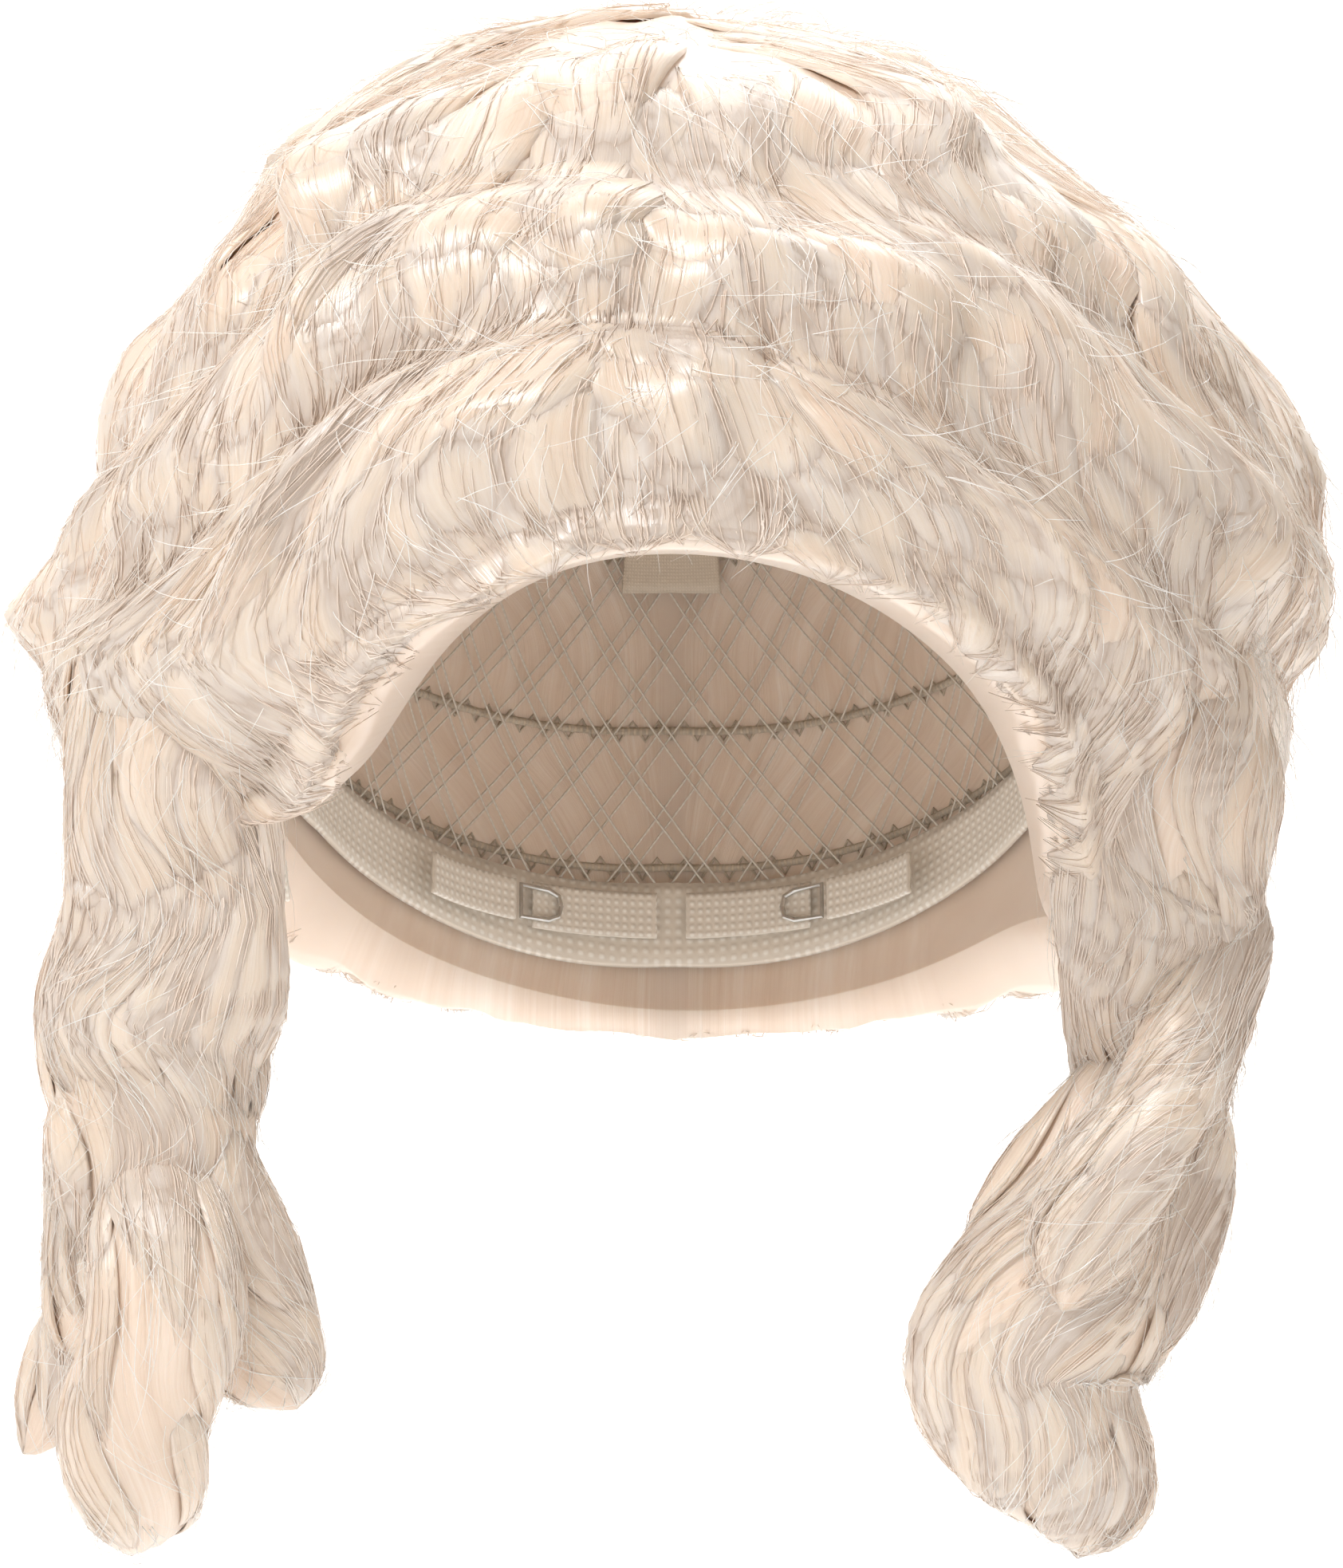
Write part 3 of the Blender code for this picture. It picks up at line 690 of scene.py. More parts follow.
def laid_strands(rng, place, shape, settings, round_share, lateness, centre, tones):
    """Strands on clumps of that share of a lock's roundness. Each lies at a place of its own across
    its clump, just in or over the clump's surface, and drifts ahead or behind as it goes down."""
    across = rng.uniform(-1, 1, shape)
    height = settings.lock_round * round_share * (1 - across**2) ** 0.4
    height = height + rng.uniform(-0.0002, 0.0004, shape)
    late = rng.uniform(*lateness, shape) * np.linspace(0.5, 1, STRAND_STEPS)
    return strand_tubes(rng, place(across, height, late), centre, settings.strand_width, tones)


def flow_origin(psi_grid, wave):
    """Psi at which the hair through each grid point left the whorl. Flow lines are stepped down the
    rows from every degree, and each row of the grid is read back off them."""
    origin = np.arange(-180.0, 180.0)
    none = np.random.default_rng(0)
    start = np.full(len(origin), wave[0])
    turn, _ = lock_paths(none, origin, start, np.full(len(origin), wave[-1] - wave[0]), len(wave), 0)
    order = [np.interp(row, np.sort(line), origin) for row, line in zip(psi_grid, turn.T)]
    return np.array(order)


def lock_starts(rng, psi_range, wave_range, spacing, lines):
    """Places where locks start: lines down the given waves, and along each a lock at every spacing,
    jittered by a third of it."""
    psi, start = [], []
    for line in range(lines):
        wave = wave_range[0] + (wave_range[1] - wave_range[0]) * (line + 0.5) / lines
        middle = sum(psi_range) / 2
        ring = 0.112 * math.sin(math.radians(max(float(phi_of(middle, wave)), 8)))
        count = max(2, round(math.radians(psi_range[1] - psi_range[0]) * ring / spacing))
        step = (psi_range[1] - psi_range[0]) / count
        psi.append(psi_range[0] + step * (np.arange(count) + rng.uniform(0.1, 0.9, count)))
        start.append(wave + rng.uniform(-0.12, 0.12, count))
    return np.concatenate(psi), np.concatenate(start)


# Each block of waved hair: its node, where its locks start and how many lines of them there are.
BLOCKS = (
    ("crown_hair", (-180, 180), (0.05, 0.80), 5),
    ("upper_wave_centre", (-35, 35), (0.75, 1.75), 4),
    ("upper_wave_left", (35, 110), (0.75, 1.75), 4),
    ("upper_wave_right", (-110, -35), (0.75, 1.75), 4),
    ("middle_wave_centre", (-35, 35), (1.75, 2.75), 4),
    ("middle_wave_left", (35, 110), (1.75, 2.75), 4),
    ("middle_wave_right", (-110, -35), (1.75, 2.75), 4),
    ("fringe_centre", (-35, 35), (2.75, 3.60), 5),
    ("side_wave_left", (35, 110), (2.75, 3.60), 5),
    ("side_wave_right", (-110, -35), (2.75, 3.60), 5),
    ("back_wave_left", (110, 180), (0.75, 2.75), 7),
    ("back_wave_right", (-180, -110), (0.75, 2.75), 7),
    ("nape_wave_left", (110, 180), (2.75, 3.25), 3),
    ("nape_wave_right", (-180, -110), (2.75, 3.25), 3),
)


# Where the lowest clumps end, down the rows of waves.
WAVE_END = 4.30
NAPE_END = 4.16


class WIG_OT_under_hair(bpy.types.Operator):
    """Packed hair under the strands: the outside of the waves and the inside beside the cap, as
    grids of psi by wave, joined along the hem and closed at the whorl."""

    bl_idname = "wig.under_hair"
    bl_label = "Under Hair"

    def execute(self, context):
        columns, rows, sunk = 240, 100, 0.0009
        psi = np.arange(columns) * 360 / columns - 180
        wave = np.linspace(0.02, 4.30, rows)
        psi_grid, wave_grid = np.meshgrid(psi, wave)
        outer = hair_point(psi_grid, wave_grid, np.full(psi_grid.shape, -sunk))
        inner = head_point(psi_grid, phi_of(psi_grid, wave_grid), INNER_LIFT)
        along = np.cumsum(np.linalg.norm(np.diff(outer, axis=0, prepend=outer[:1]), axis=2), axis=0)
        uv = np.stack((np.radians(flow_origin(psi_grid, wave)) * 0.11, along), -1)
        count = rows * columns
        quads = grid_quads(rows, columns, True)
        rim = np.arange(columns) + (rows - 1) * columns
        rim_next = np.roll(rim, -1)
        hem = np.stack((rim, rim_next, rim_next + count, rim + count), -1)
        ring = np.arange(columns)
        tips = np.stack((np.full(columns, 2 * count), np.roll(ring, -1), ring), -1)
        inner_ring = ring + count, np.roll(ring, -1) + count
        inner_tips = np.stack((np.full(columns, 2 * count + 1), *inner_ring), -1)
        middles = outer[0].mean(0)[None], inner[0].mean(0)[None]
        points = np.concatenate((outer.reshape(-1, 3), inner.reshape(-1, 3), *middles))
        uvs = np.concatenate((uv.reshape(-1, 2), uv.reshape(-1, 2), ((0, 0), (0, 0))))
        faces = np.concatenate((quads[:, ::-1], quads + count, hem[:, ::-1]))
        fans = np.concatenate((tips[:, ::-1], inner_tips[:, ::-1]))
        obj = add_mesh("under_hair", points, faces, fans, uv=uvs)
        finish(obj, "packed")
        return {"FINISHED"}


class WIG_OT_waves(bpy.types.Operator):
    """Waved hair: locks of strands that start in each block and run a little over one row down."""

    bl_idname = "wig.waves"
    bl_label = "Waved Hair"

    def execute(self, context):
        settings = context.scene.wig_hair
        for number, (name, psi_range, wave_range, lines) in enumerate(BLOCKS):
            end = NAPE_END if name.startswith("nape") else WAVE_END

            def locks(steps):
                """The block's random draws, its locks' number and their shape. It draws the same
                locks each time, so strands lie on the clumps."""
                rng = np.random.default_rng(settings.seed + number)
                psi, start = lock_starts(rng, psi_range, wave_range, settings.lock_spacing, lines)
                count = len(psi)
                run = rng.uniform(0.85, 1.25, count)
                run = np.minimum(run, end - start + rng.uniform(-0.12, 0.1, count))
                return rng, count, *lock_shape(rng, psi, start, run, settings, steps)

            rng, count, place, width = locks(12)
            tones = np.clip(rng.normal(0.5, 0.16, count), 0, 1)
            across, height = clump_profile(rng, count, settings.lock_round)
            body = clump_mesh(f"{name}_clumps", place(across, height), width / 2, tones)
            finish(body, "packed", nodes=(name,))
            rng, count, place, width = locks(STRAND_STEPS)
            shape = count, settings.strands_per_lock, 1
            paths, outs, radii, tones = laid_strands(
                rng, place, shape, settings, 1, (-0.10, 0.14), CENTRE, tones
            )
            obj = tubes(f"{name}_strands", paths, radii, outs, tone=tones, flat=FLAT)
            finish(obj, "filament")
        return {"FINISHED"}


# ---------------------------------------------------------------- the side locks

# Thick strands of the side locks. Points are (across, depth, height, half-width) in mm, where across
# is away from the face and depth is towards the back. turns is how often the hair winds round the
# strand, and sway how far it waves from side to side, in radians.
HANKS = {
    "right": (
        {
            "turns": 0.05,
            "points": (
                (80, -40, -58, 12), (88, -49, -80, 17), (88, -50, -100, 18.5),
                (88, -45, -120, 18.5), (92, -40, -143, 21.5), (92, -40, -160, 18),
                (93, -40, -176, 15), (94, -38, -190, 11), (95, -36, -200, 5),
            ),
        },
        {
            "turns": 0.15,
            "points": (
                (95, -37, -138, 6), (99, -33, -151, 10), (98, -34, -164, 12), (99, -35, -178, 13),
                (99, -34, -192, 13), (98, -33, -204, 11), (97, -32, -211, 4),
            ),
        },
        {
            "turns": 0.15,
            "points": (
                (85, -38, -140, 10), (84, -40, -158, 11.5), (83, -41, -174, 11.5),
                (78, -41, -190, 12), (73, -39, -203, 11), (69, -37, -211, 8), (67, -35, -216, 2),
            ),
        },
        {
            "turns": 0.45, "sway": 0.12,
            "points": (
                (90, -30, -158, 4), (89, -42, -170, 9), (89, -51, -182, 12.5), (90, -55, -194, 14),
                (93, -54, -206, 14), (95, -50, -219, 13), (96, -44, -230, 11), (97, -38, -238, 8),
                (97, -34, -243, 2),
            ),
        },
        {
            "turns": 0.3, "sway": 0.1,
            "points": (
                (97, -33, -182, 5), (100, -32, -192, 7), (104, -30, -202, 8), (108, -28, -211, 8),
                (113, -26, -219, 7), (117, -25, -226, 3),
            ),
        },
    ),
    "left": (
        {
            "turns": 0.05,
            "points": (
                (80, -40, -58, 12), (87, -49, -80, 17), (88, -50, -100, 18.5), (87, -45, -120, 18),
                (86, -39, -140, 17), (86, -37, -155, 14), (88, -36, -168, 9), (89, -36, -176, 3),
            ),
        },
        {
            "turns": 0.5, "sway": 0.12,
            "points": (
                (99, -42, -118, 5), (97, -46, -130, 8.5), (92, -52, -145, 9.5),
                (85, -57, -158, 10), (78, -60, -171, 10), (72, -59, -184, 9), (69, -56, -195, 3),
            ),
        },
        {
            "turns": 0.5,
            "points": (
                (91, -39, -118, 5), (94, -35, -132, 8), (94, -34, -147, 8.5), (90, -38, -162, 9),
                (90, -40, -176, 10), (86, -41, -191, 9.5), (80, -40, -204, 8), (77, -38, -212, 3),
            ),
        },
        {
            "turns": 0.3,
            "points": (
                (80, -40, -150, 9), (77, -43, -165, 13), (73, -44, -180, 17), (68, -43, -194, 20),
                (64, -40, -206, 22), (67, -39, -218, 18), (72, -37, -229, 14), (74, -34, -238, 9),
                (73, -31, -244, 2),
            ),
        },
    ),
}
# A piece of the upper half ends, and one of the lower half starts, between the two joints.
UPPER_END = -0.163
LOWER_TOP = -0.148
# Above this height the side waves hide the locks, so no clumps are laid on them.
COVER_TOP = -0.070
# The surface that one clump of the side locks covers, in square metres, and the loose hairs there.
CLUMP_AREA = 0.012 * 0.035
LOOSE_PER_AREA = 52000


def spline(points, count):
    """Points read at even steps from a smooth Catmull-Rom curve through the given ones."""
    points = np.asarray(points, float)
    padded = np.concatenate((2 * points[:1] - points[1:2], points, 2 * points[-1:] - points[-2:-1]))
    place = np.linspace(0, len(points) - 1, count)
    k = np.minimum(place.astype(int), len(points) - 2)
    t = (place - k)[:, None]
    a, b, c, d = (padded[k + i] for i in range(4))
    return 0.5 * (2 * b + (c - a) * t + (2 * a - 5 * b + 4 * c - d) * t**2 + (3 * b - 3 * c + d - a) * t**3)


class Hank:
    """One thick strand of a side lock: a middle line, its half-width and its two cross directions,
    each a table that is read at a share of the way down."""

    STEPS = 160
    RAISE = 1.5
    FLATNESS = 0.62

    def __init__(self, plan, sign):
        table = spline(plan["points"], self.STEPS) + (0, 0, self.RAISE, 0)
        self.line = table[:, :3] * MM * (sign, 1, 1)
        self.half = np.maximum(table[:, 3], 1.2) * MM
        tangent = unit(np.gradient(self.line, axis=0))
        self.front = unit(np.cross(tangent, (1.0, 0, 0)))
        self.across = np.cross(self.front, tangent)
        self.steps = np.linalg.norm(np.diff(self.line, axis=0, prepend=self.line[:1]), axis=1)
        self.length = np.cumsum(self.steps)
        self.wind = 2 * np.pi * plan["turns"] * sign
        self.sway = plan.get("sway", 0.22)

    def share_at(self, height):
        return float(np.argmin(np.abs(self.line[:, 2] - height))) / (self.STEPS - 1)

    def read(self, table, share):
        place = np.clip(share, 0, 1) * (self.STEPS - 1)
        k = np.minimum(place.astype(int), self.STEPS - 2)
        t = place - k
        if table.ndim > 1:
            t = t[..., None]
        return table[k] * (1 - t) + table[k + 1] * t

    def turned(self, angle, share):
        """Angle round the line of hair that set out at the given angle: it winds, and it waves from
        side to side once in about 45 mm, a little out of step round the strand."""
        wave = 2 * np.pi * self.read(self.length, share) / 0.045
        return angle + self.wind * share + self.sway * np.sin(wave + 1.5 * np.sin(angle))

    def point(self, angle, share, lift):
        """Points at an angle about the line. The ends are rounded, and shallow lumps go along with
        the hair's waves."""
        ends = np.sqrt(np.clip(1 - np.abs(2 * np.clip(share, 0, 1) - 1) ** 14, 0.03, 1))
        wave = 2 * np.pi * self.read(self.length, share) / 0.045
        lumps = 0.0011 * np.sin(wave + 1.2 + angle) + 0.0007 * np.sin(3 * angle + 0.7 * wave)
        reach = (self.read(self.half, share) * ends + (lumps + lift) * ends)[..., None]
        line, across, front = (self.read(t, share) for t in (self.line, self.across, self.front))
        sideways = np.cos(angle)[..., None] * across
        return line + reach * (sideways + self.FLATNESS * np.sin(angle)[..., None] * front)


def hank_core(hank, first, last, rows=42, columns=32):
    """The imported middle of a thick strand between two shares, as rings that round off at both ends.
    u follows the hair, so that a pattern in it runs along the filaments."""
    t = np.linspace(0, 1, rows)
    share = (first + (last - first) * t)[:, None]
    start = 2 * np.pi * np.arange(columns)[None, :] / columns
    angle, share = np.broadcast_arrays(start, share)
    close = np.sqrt(np.clip(1 - np.abs(2 * t - 1) ** 24, 0.02, 1))[:, None]
    flow = start - hank.turned(0 * share, share)
    lift = -0.0014 + 0.0004 * np.sin(11 * flow) - (1 - close) * 0.5 * hank.read(hank.half, share)
    points = hank.point(angle, share, lift)
    return points, np.stack((flow * 0.011, hank.read(hank.length, share)), -1)


def hank_clumps(rng, hank, first, last, clumps, steps, settings):
    """Clumps on a thick strand, as a function that gives the points for places across the clumps,
    heights and lateness. Each starts at a place of its own, spreads and draws together at its tip."""
    run = np.minimum(rng.uniform(0.026, 0.046, (clumps, 1, 1)) / hank.length[-1], last - first)
    start = first + (last - first - run) * rng.uniform(-0.06, 1.06, (clumps, 1, 1))
    around = rng.uniform(0, 2 * np.pi, (clumps, 1, 1))
    width = rng.uniform(0.75, 1.25, (clumps, 1, 1)) * settings.lock_spacing * 0.85
    t = np.linspace(0, 1, steps)[None, None, :]
    draw = 0.50 + 0.68 * np.sin(np.pi * t**0.8) - 0.40 * t**3
    ends = np.sin(np.pi * np.clip(0.06 + 0.9 * t, 0, 1)) ** 0.6

    def place(across, height, late=0.0):
        share = np.clip(start + run * t + late * run, first, last)
        half = np.maximum(hank.read(hank.half, share), 0.0035)
        angle = around + across * draw * np.minimum(width / half / 2, 1.2)
        share, angle = np.broadcast_arrays(share, angle)
        lift = height * ends * np.minimum(half / 0.010, 1) - 0.0006 - 0.0032 * (1 - ends)
        return hank.point(hank.turned(angle, share), share, lift + 0 * angle)

    return place, width


def hank_fuzz(rng, hank, first, last, count, width, steps=6):
    """Loose single hairs that lift off a thick strand and curve back to it."""
    run = rng.uniform(0.008, 0.022, (count, 1)) / hank.length[-1]
    start = first + (last - first - run) * rng.uniform(0, 1, (count, 1))
    t = np.linspace(0, 1, steps)[None, :]
    share = start + run * t
    half = np.maximum(hank.read(hank.half, share), 0.004)
    stray = rng.normal(0, 0.006, (count, 1)) * t + rng.normal(0, 0.005, (count, 1)) * t**2
    angle = hank.turned(rng.uniform(0, 2 * np.pi, (count, 1)) + stray / half, share)
    lift = rng.uniform(0.0005, 0.0045, (count, 1)) * np.sin(np.pi * 0.62 * t) - 0.0005
    paths = hank.point(angle, share, lift)
    outs = unit(paths - hank.read(hank.line, share))
    radii = width / 2 * (1 - 0.75 * t**2) * np.ones((count, 1))
    # Each loose hair takes a tone from the whiter half of its near-white colours, which are a painted highlight
    # for its sparkle.
    return paths, outs, radii, rng.uniform(0.45, 1, count)


def joined_rings(name, cores):
    """One mesh from the rings of several thick strands, each closed by a fan at both ends."""
    points, quads, tris, uvs, base = [], [], [], [], 0
    for rings, uv in cores:
        rows, columns = rings.shape[:2]
        count = rows * columns
        points += [rings.reshape(-1, 3), rings[0].mean(0)[None], rings[-1].mean(0)[None]]
        uvs += [uv.reshape(-1, 2), uv[0].mean(0)[None], uv[-1].mean(0)[None]]
        ring, low = np.arange(columns), (rows - 1) * columns
        after = np.roll(ring, -1)
        top = np.stack((np.full(columns, count), after, ring), -1)
        bottom = np.stack((np.full(columns, count + 1), ring + low, after + low), -1)
        body = grid_quads(rows, columns, True)
        if signed_volume(np.concatenate(points[-3:]), body, np.concatenate((top, bottom))) < 0:
            body, top, bottom = body[:, ::-1], top[:, ::-1], bottom[:, ::-1]
        quads.append(body + base)
        tris += [top + base, bottom + base]
        base += count + 2
    points, quads, tris, uvs = map(np.concatenate, (points, quads, tris, uvs))
    return add_mesh(name, points, quads, tris, uv=uvs)


class WIG_OT_side_locks(bpy.types.Operator):
    """Side locks: each is a few thick strands. Each lock is built as an upper and a lower piece, and their
    clumps overlap between the two."""

    bl_idname = "wig.side_locks"
    bl_label = "Side Locks"

    def execute(self, context):
        settings = context.scene.wig_hair
        for side, sign in (("right", -1), ("left", 1)):
            hanks = [Hank(plan, sign) for plan in HANKS[side]]
            for part in ("upper", "lower"):
                seed = settings.seed + 300 + len(side) + len(part) + ord(part[0])
                self.part(hanks, side, part, settings, np.random.default_rng(seed))
        return {"FINISHED"}

    def part(self, hanks, side, part, settings, rng):
        nodes = [f"side_lock_{side}_{part}"]
        if (side, part) == ("right", "lower"):
            nodes += ["inner_flick_right", "outer_flick_right"]
        cores, bodies, strands, fuzz = [], [], [], []
        for hank in hanks:
            top, low = hank.line[0, 2], hank.line[-1, 2]
            if part == "upper":
                if top < LOWER_TOP:
                    continue
                first, last = 0.0, hank.share_at(max(UPPER_END, low))
            else:
                if low > UPPER_END + 0.004:
                    continue
                first, last = hank.share_at(min(LOWER_TOP, top)), 1.0
            cores.append(hank_core(hank, first, last))
            seen = max(first, hank.share_at(min(COVER_TOP, top)))
            area = 2 * np.pi * hank.half.mean() * (last - seen) * hank.length[-1]
            cover = settings.lock_cover * (1.45 if part == "upper" else 1)
            plan = hank, seen, last, round(cover * area / CLUMP_AREA)
            self.cover(rng, hank_clumps, plan, settings, hank.line.mean(0), bodies, strands)
            count = round(area * LOOSE_PER_AREA)
            fuzz.append(hank_fuzz(rng, hank, first, last, count, settings.flyaway_width))
        core = joined_rings(f"side_lock_{side}_{part}_body", cores)
        self.bend(finish(core, "packed", body=None, nodes=nodes), side, part)
        if part == "upper":
            middle = np.array((math.copysign(0.075, hanks[0].line[0, 0]), -0.01, -0.11))
            plan = hanks[0], side, settings.drape_clumps
            self.cover(rng, drape_clumps, plan, settings, middle, bodies, strands)
        points, widths, tones = map(np.concatenate, zip(*bodies))
        obj = clump_mesh(f"side_lock_{side}_{part}_clumps", points, widths / 2, tones)
        self.bend(finish(obj, "packed", body=None), side, part)
        for kind, short, group in (("strands", "filament", strands), ("loose_hairs", "loose", fuzz)):
            paths, outs, radii, own = map(np.concatenate, zip(*group))
            obj = tubes(f"side_lock_{side}_{part}_{kind}", paths, radii, outs, tone=own, flat=FLAT)
            self.bend(finish(obj, short, body=None), side, part)

    def cover(self, rng, shape, plan, settings, middle, bodies, strands):
        """Adds clumps of that shape and the single strands that lie on them to the two lists."""
        state = rng.bit_generator.state
        place, width = shape(rng, *plan, 13, settings)
        tones = np.clip(rng.normal(0.5, 0.15, len(width)), 0, 1)
        across, height = clump_profile(rng, len(width), settings.lock_round * 0.62)
        bodies.append((place(across, height), width, tones))
        rng.bit_generator.state = state
        place, width = shape(rng, *plan, STRAND_STEPS, settings)
        number = len(width), round(settings.strands_per_lock * 0.8), 1
        strands.append(laid_strands(rng, place, number, settings, 0.62, (-0.06, 0.10), middle, tones))

    def bend(self, obj, side, part):
        """Bakes a piece's placement into its mesh."""
        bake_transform(obj)


def drape_clumps(rng, hank, side, clumps, steps, settings):
    """Clumps that leave the side waves and run down over the top of a side lock. Each path starts on
    the waves and eases over to the side of the lock's thick strand that lies below it."""
    sign = -1 if side == "right" else 1
    spot = rng.uniform(0, 1, (clumps, 1, 1))
    start = rng.uniform(2.95, 3.60, (clumps, 1, 1))
    low = rng.uniform(-0.160, -0.128, clumps)
    first, last = hank.share_at(-0.085), np.array([hank.share_at(z) for z in low])[:, None, None]
    t = np.linspace(0, 1, steps)[None, None, :]
    draw = 0.55 + 0.62 * np.sin(np.pi * t**0.8) - 0.40 * t**3
    ends = np.sin(np.pi * np.clip(0.06 + 0.9 * t, 0, 1)) ** 0.6
    ease = np.clip((t - 0.18) / 0.55, 0, 1)
    ease = (ease * ease * (3 - 2 * ease))[..., None]

    def place(across, height, late=0.0):
        psi = sign * (60 + 34 * spot) + across * draw * 2.6
        wave = start + (4.05 - start) * np.clip(1.5 * t, 0, 1) + 0.4 * late
        lift = height * ends - 0.0004 - 0.0032 * (1 - ends)
        psi, wave, lift = np.broadcast_arrays(psi, wave, lift)
        angle = math.pi * (0.02 + 0.92 * spot) + sign * across * draw * 0.22
        angle = angle if side == "right" else math.pi - angle
        share = first + (last - first) * (0.25 + 0.75 * t) + 0.03 * late
        angle, share = np.broadcast_arrays(angle, share)
        on_lock = hank.point(hank.turned(angle, share), share, lift + 0.0008)
        return hair_point(psi, wave, lift) * (1 - ease) + on_lock * ease

    return place, np.full((clumps, 1, 1), 0.008)


# ---------------------------------------------------------------- loose hairs


class WIG_OT_flyaways(bpy.types.Operator):
    """Loose hairs: thin single filaments that lift off the waves and curve back, in any direction."""

    bl_idname = "wig.flyaways"
    bl_label = "Flyaways"

    def execute(self, context):
        settings = context.scene.wig_hair
        rng = np.random.default_rng(settings.seed + 900)
        count, steps = settings.flyaways, 6
        psi = rng.uniform(-180, 180, count)
        wave = rng.uniform(0.3, 3.75, count)
        base = hair_point(psi, wave, np.full(count, 0.001))
        out = unit(base - CENTRE)
        ahead = unit(hair_point(psi, wave + 0.02, np.full(count, 0.001)) - base)
        lean = np.radians(slant(psi, wave) + rng.normal(0, 38, count))[:, None]
        side = np.cross(out, ahead)
        heading = np.cos(lean) * ahead + np.sin(lean) * side
        curl = rng.normal(0, 0.9, (count, 1, 1))
        length = rng.uniform(0.006, 0.020, (count, 1, 1))
        rise = rng.uniform(0.06, 0.34, (count, 1, 1))
        share = np.linspace(0, 1, steps)[None, :, None]
        cross = np.cross(out, heading)[:, None]
        lift = rise * np.sin(np.pi * 0.62 * share) - 0.10 * share**2
        along = heading[:, None] * share + cross * curl * share**2 * 0.5
        paths = base[:, None] + length * (along + out[:, None] * lift)
        radii = settings.flyaway_width / 2 * (1 - 0.75 * share[..., 0] ** 2) * np.ones((count, 1))
        outs = np.broadcast_to(out[:, None], paths.shape)
        # Each loose hair takes a tone from the whiter half of its near-white colours, which are a painted
        # highlight for its sparkle.
        obj = tubes("loose_hairs", paths, radii, outs, tone=rng.uniform(0.5, 1, count))
        finish(obj, "loose")
        return {"FINISHED"}


# ---------------------------------------------------------------- the cap


def cap_phi(psi, share):
    """Polar angle at a share of the way down the cap, as in the frame's design."""
    turn = np.abs(wrap(psi))
    hem = np.interp(turn, (0, 45, 60, 90, 110, 130, 150, 180), (119.5, 122, 122, 114, 108, 103, 101, 99))
    return share * hem


def cap_strip(name, psi_range, share_range, lift, thickness, short, columns, rows=7):
    """A strip of the cap between two psi and two shares, as a thin closed sheet on the head."""
    psi, share = np.meshgrid(np.linspace(*psi_range, columns), np.linspace(*share_range, rows))
    phi = cap_phi(psi, share)
    inner, outer = head_point(psi, phi, lift), head_point(psi, phi, lift + thickness)
    uv = np.stack((np.radians(psi) * 0.08, phi * 0.0015), -1)
    obj = shell(f"{name}_cloth", outer, inner, False, uv)
    finish(obj, short, nodes=(name,))
    return obj


# The adjusters run round a cylinder at the nape: a point on its axis, and its outward and down ways.
NAPE_RADIUS = 0.0544
NAPE_PIVOT = np.array((0.0, 0.0308, -0.1172))
NAPE_OUT = unit(np.array((0.0, 0.908, -0.419)))
NAPE_DOWN = unit(np.array((0.0, -0.419, -0.908)))


def nape_point(turn, drop, radius):
    """Points at an angle round the nape's cylinder, a drop along its axis and a radius."""
    turn, drop, radius = np.broadcast_arrays(np.radians(turn), drop, radius)
    out = np.sin(turn)[..., None] * np.array((1.0, 0, 0)) + np.cos(turn)[..., None] * NAPE_OUT
    return NAPE_PIVOT + out * radius[..., None] + NAPE_DOWN * drop[..., None]


def nape_strip(name, turns, half_width, radius, thickness, sign, columns, relief):
    """A strip of tape round the nape's cylinder. relief is a height as a function of the angle in
    degrees and the place across from -1 to 1."""
    across, turn = np.meshgrid(np.linspace(-1, 1, 9), sign * np.linspace(*turns, columns), indexing="ij")
    inner = nape_point(turn, across * half_width, radius)
    outer = nape_point(turn, across * half_width, radius + thickness + relief(np.abs(turn), across))
    if sign < 0:
        inner, outer = inner[:, ::-1], outer[:, ::-1]
    uv = np.stack((across * half_width, np.radians(turn) * radius), -1)
    return shell(f"{name}_cloth", outer[::-1], inner[::-1], False, uv[::-1])


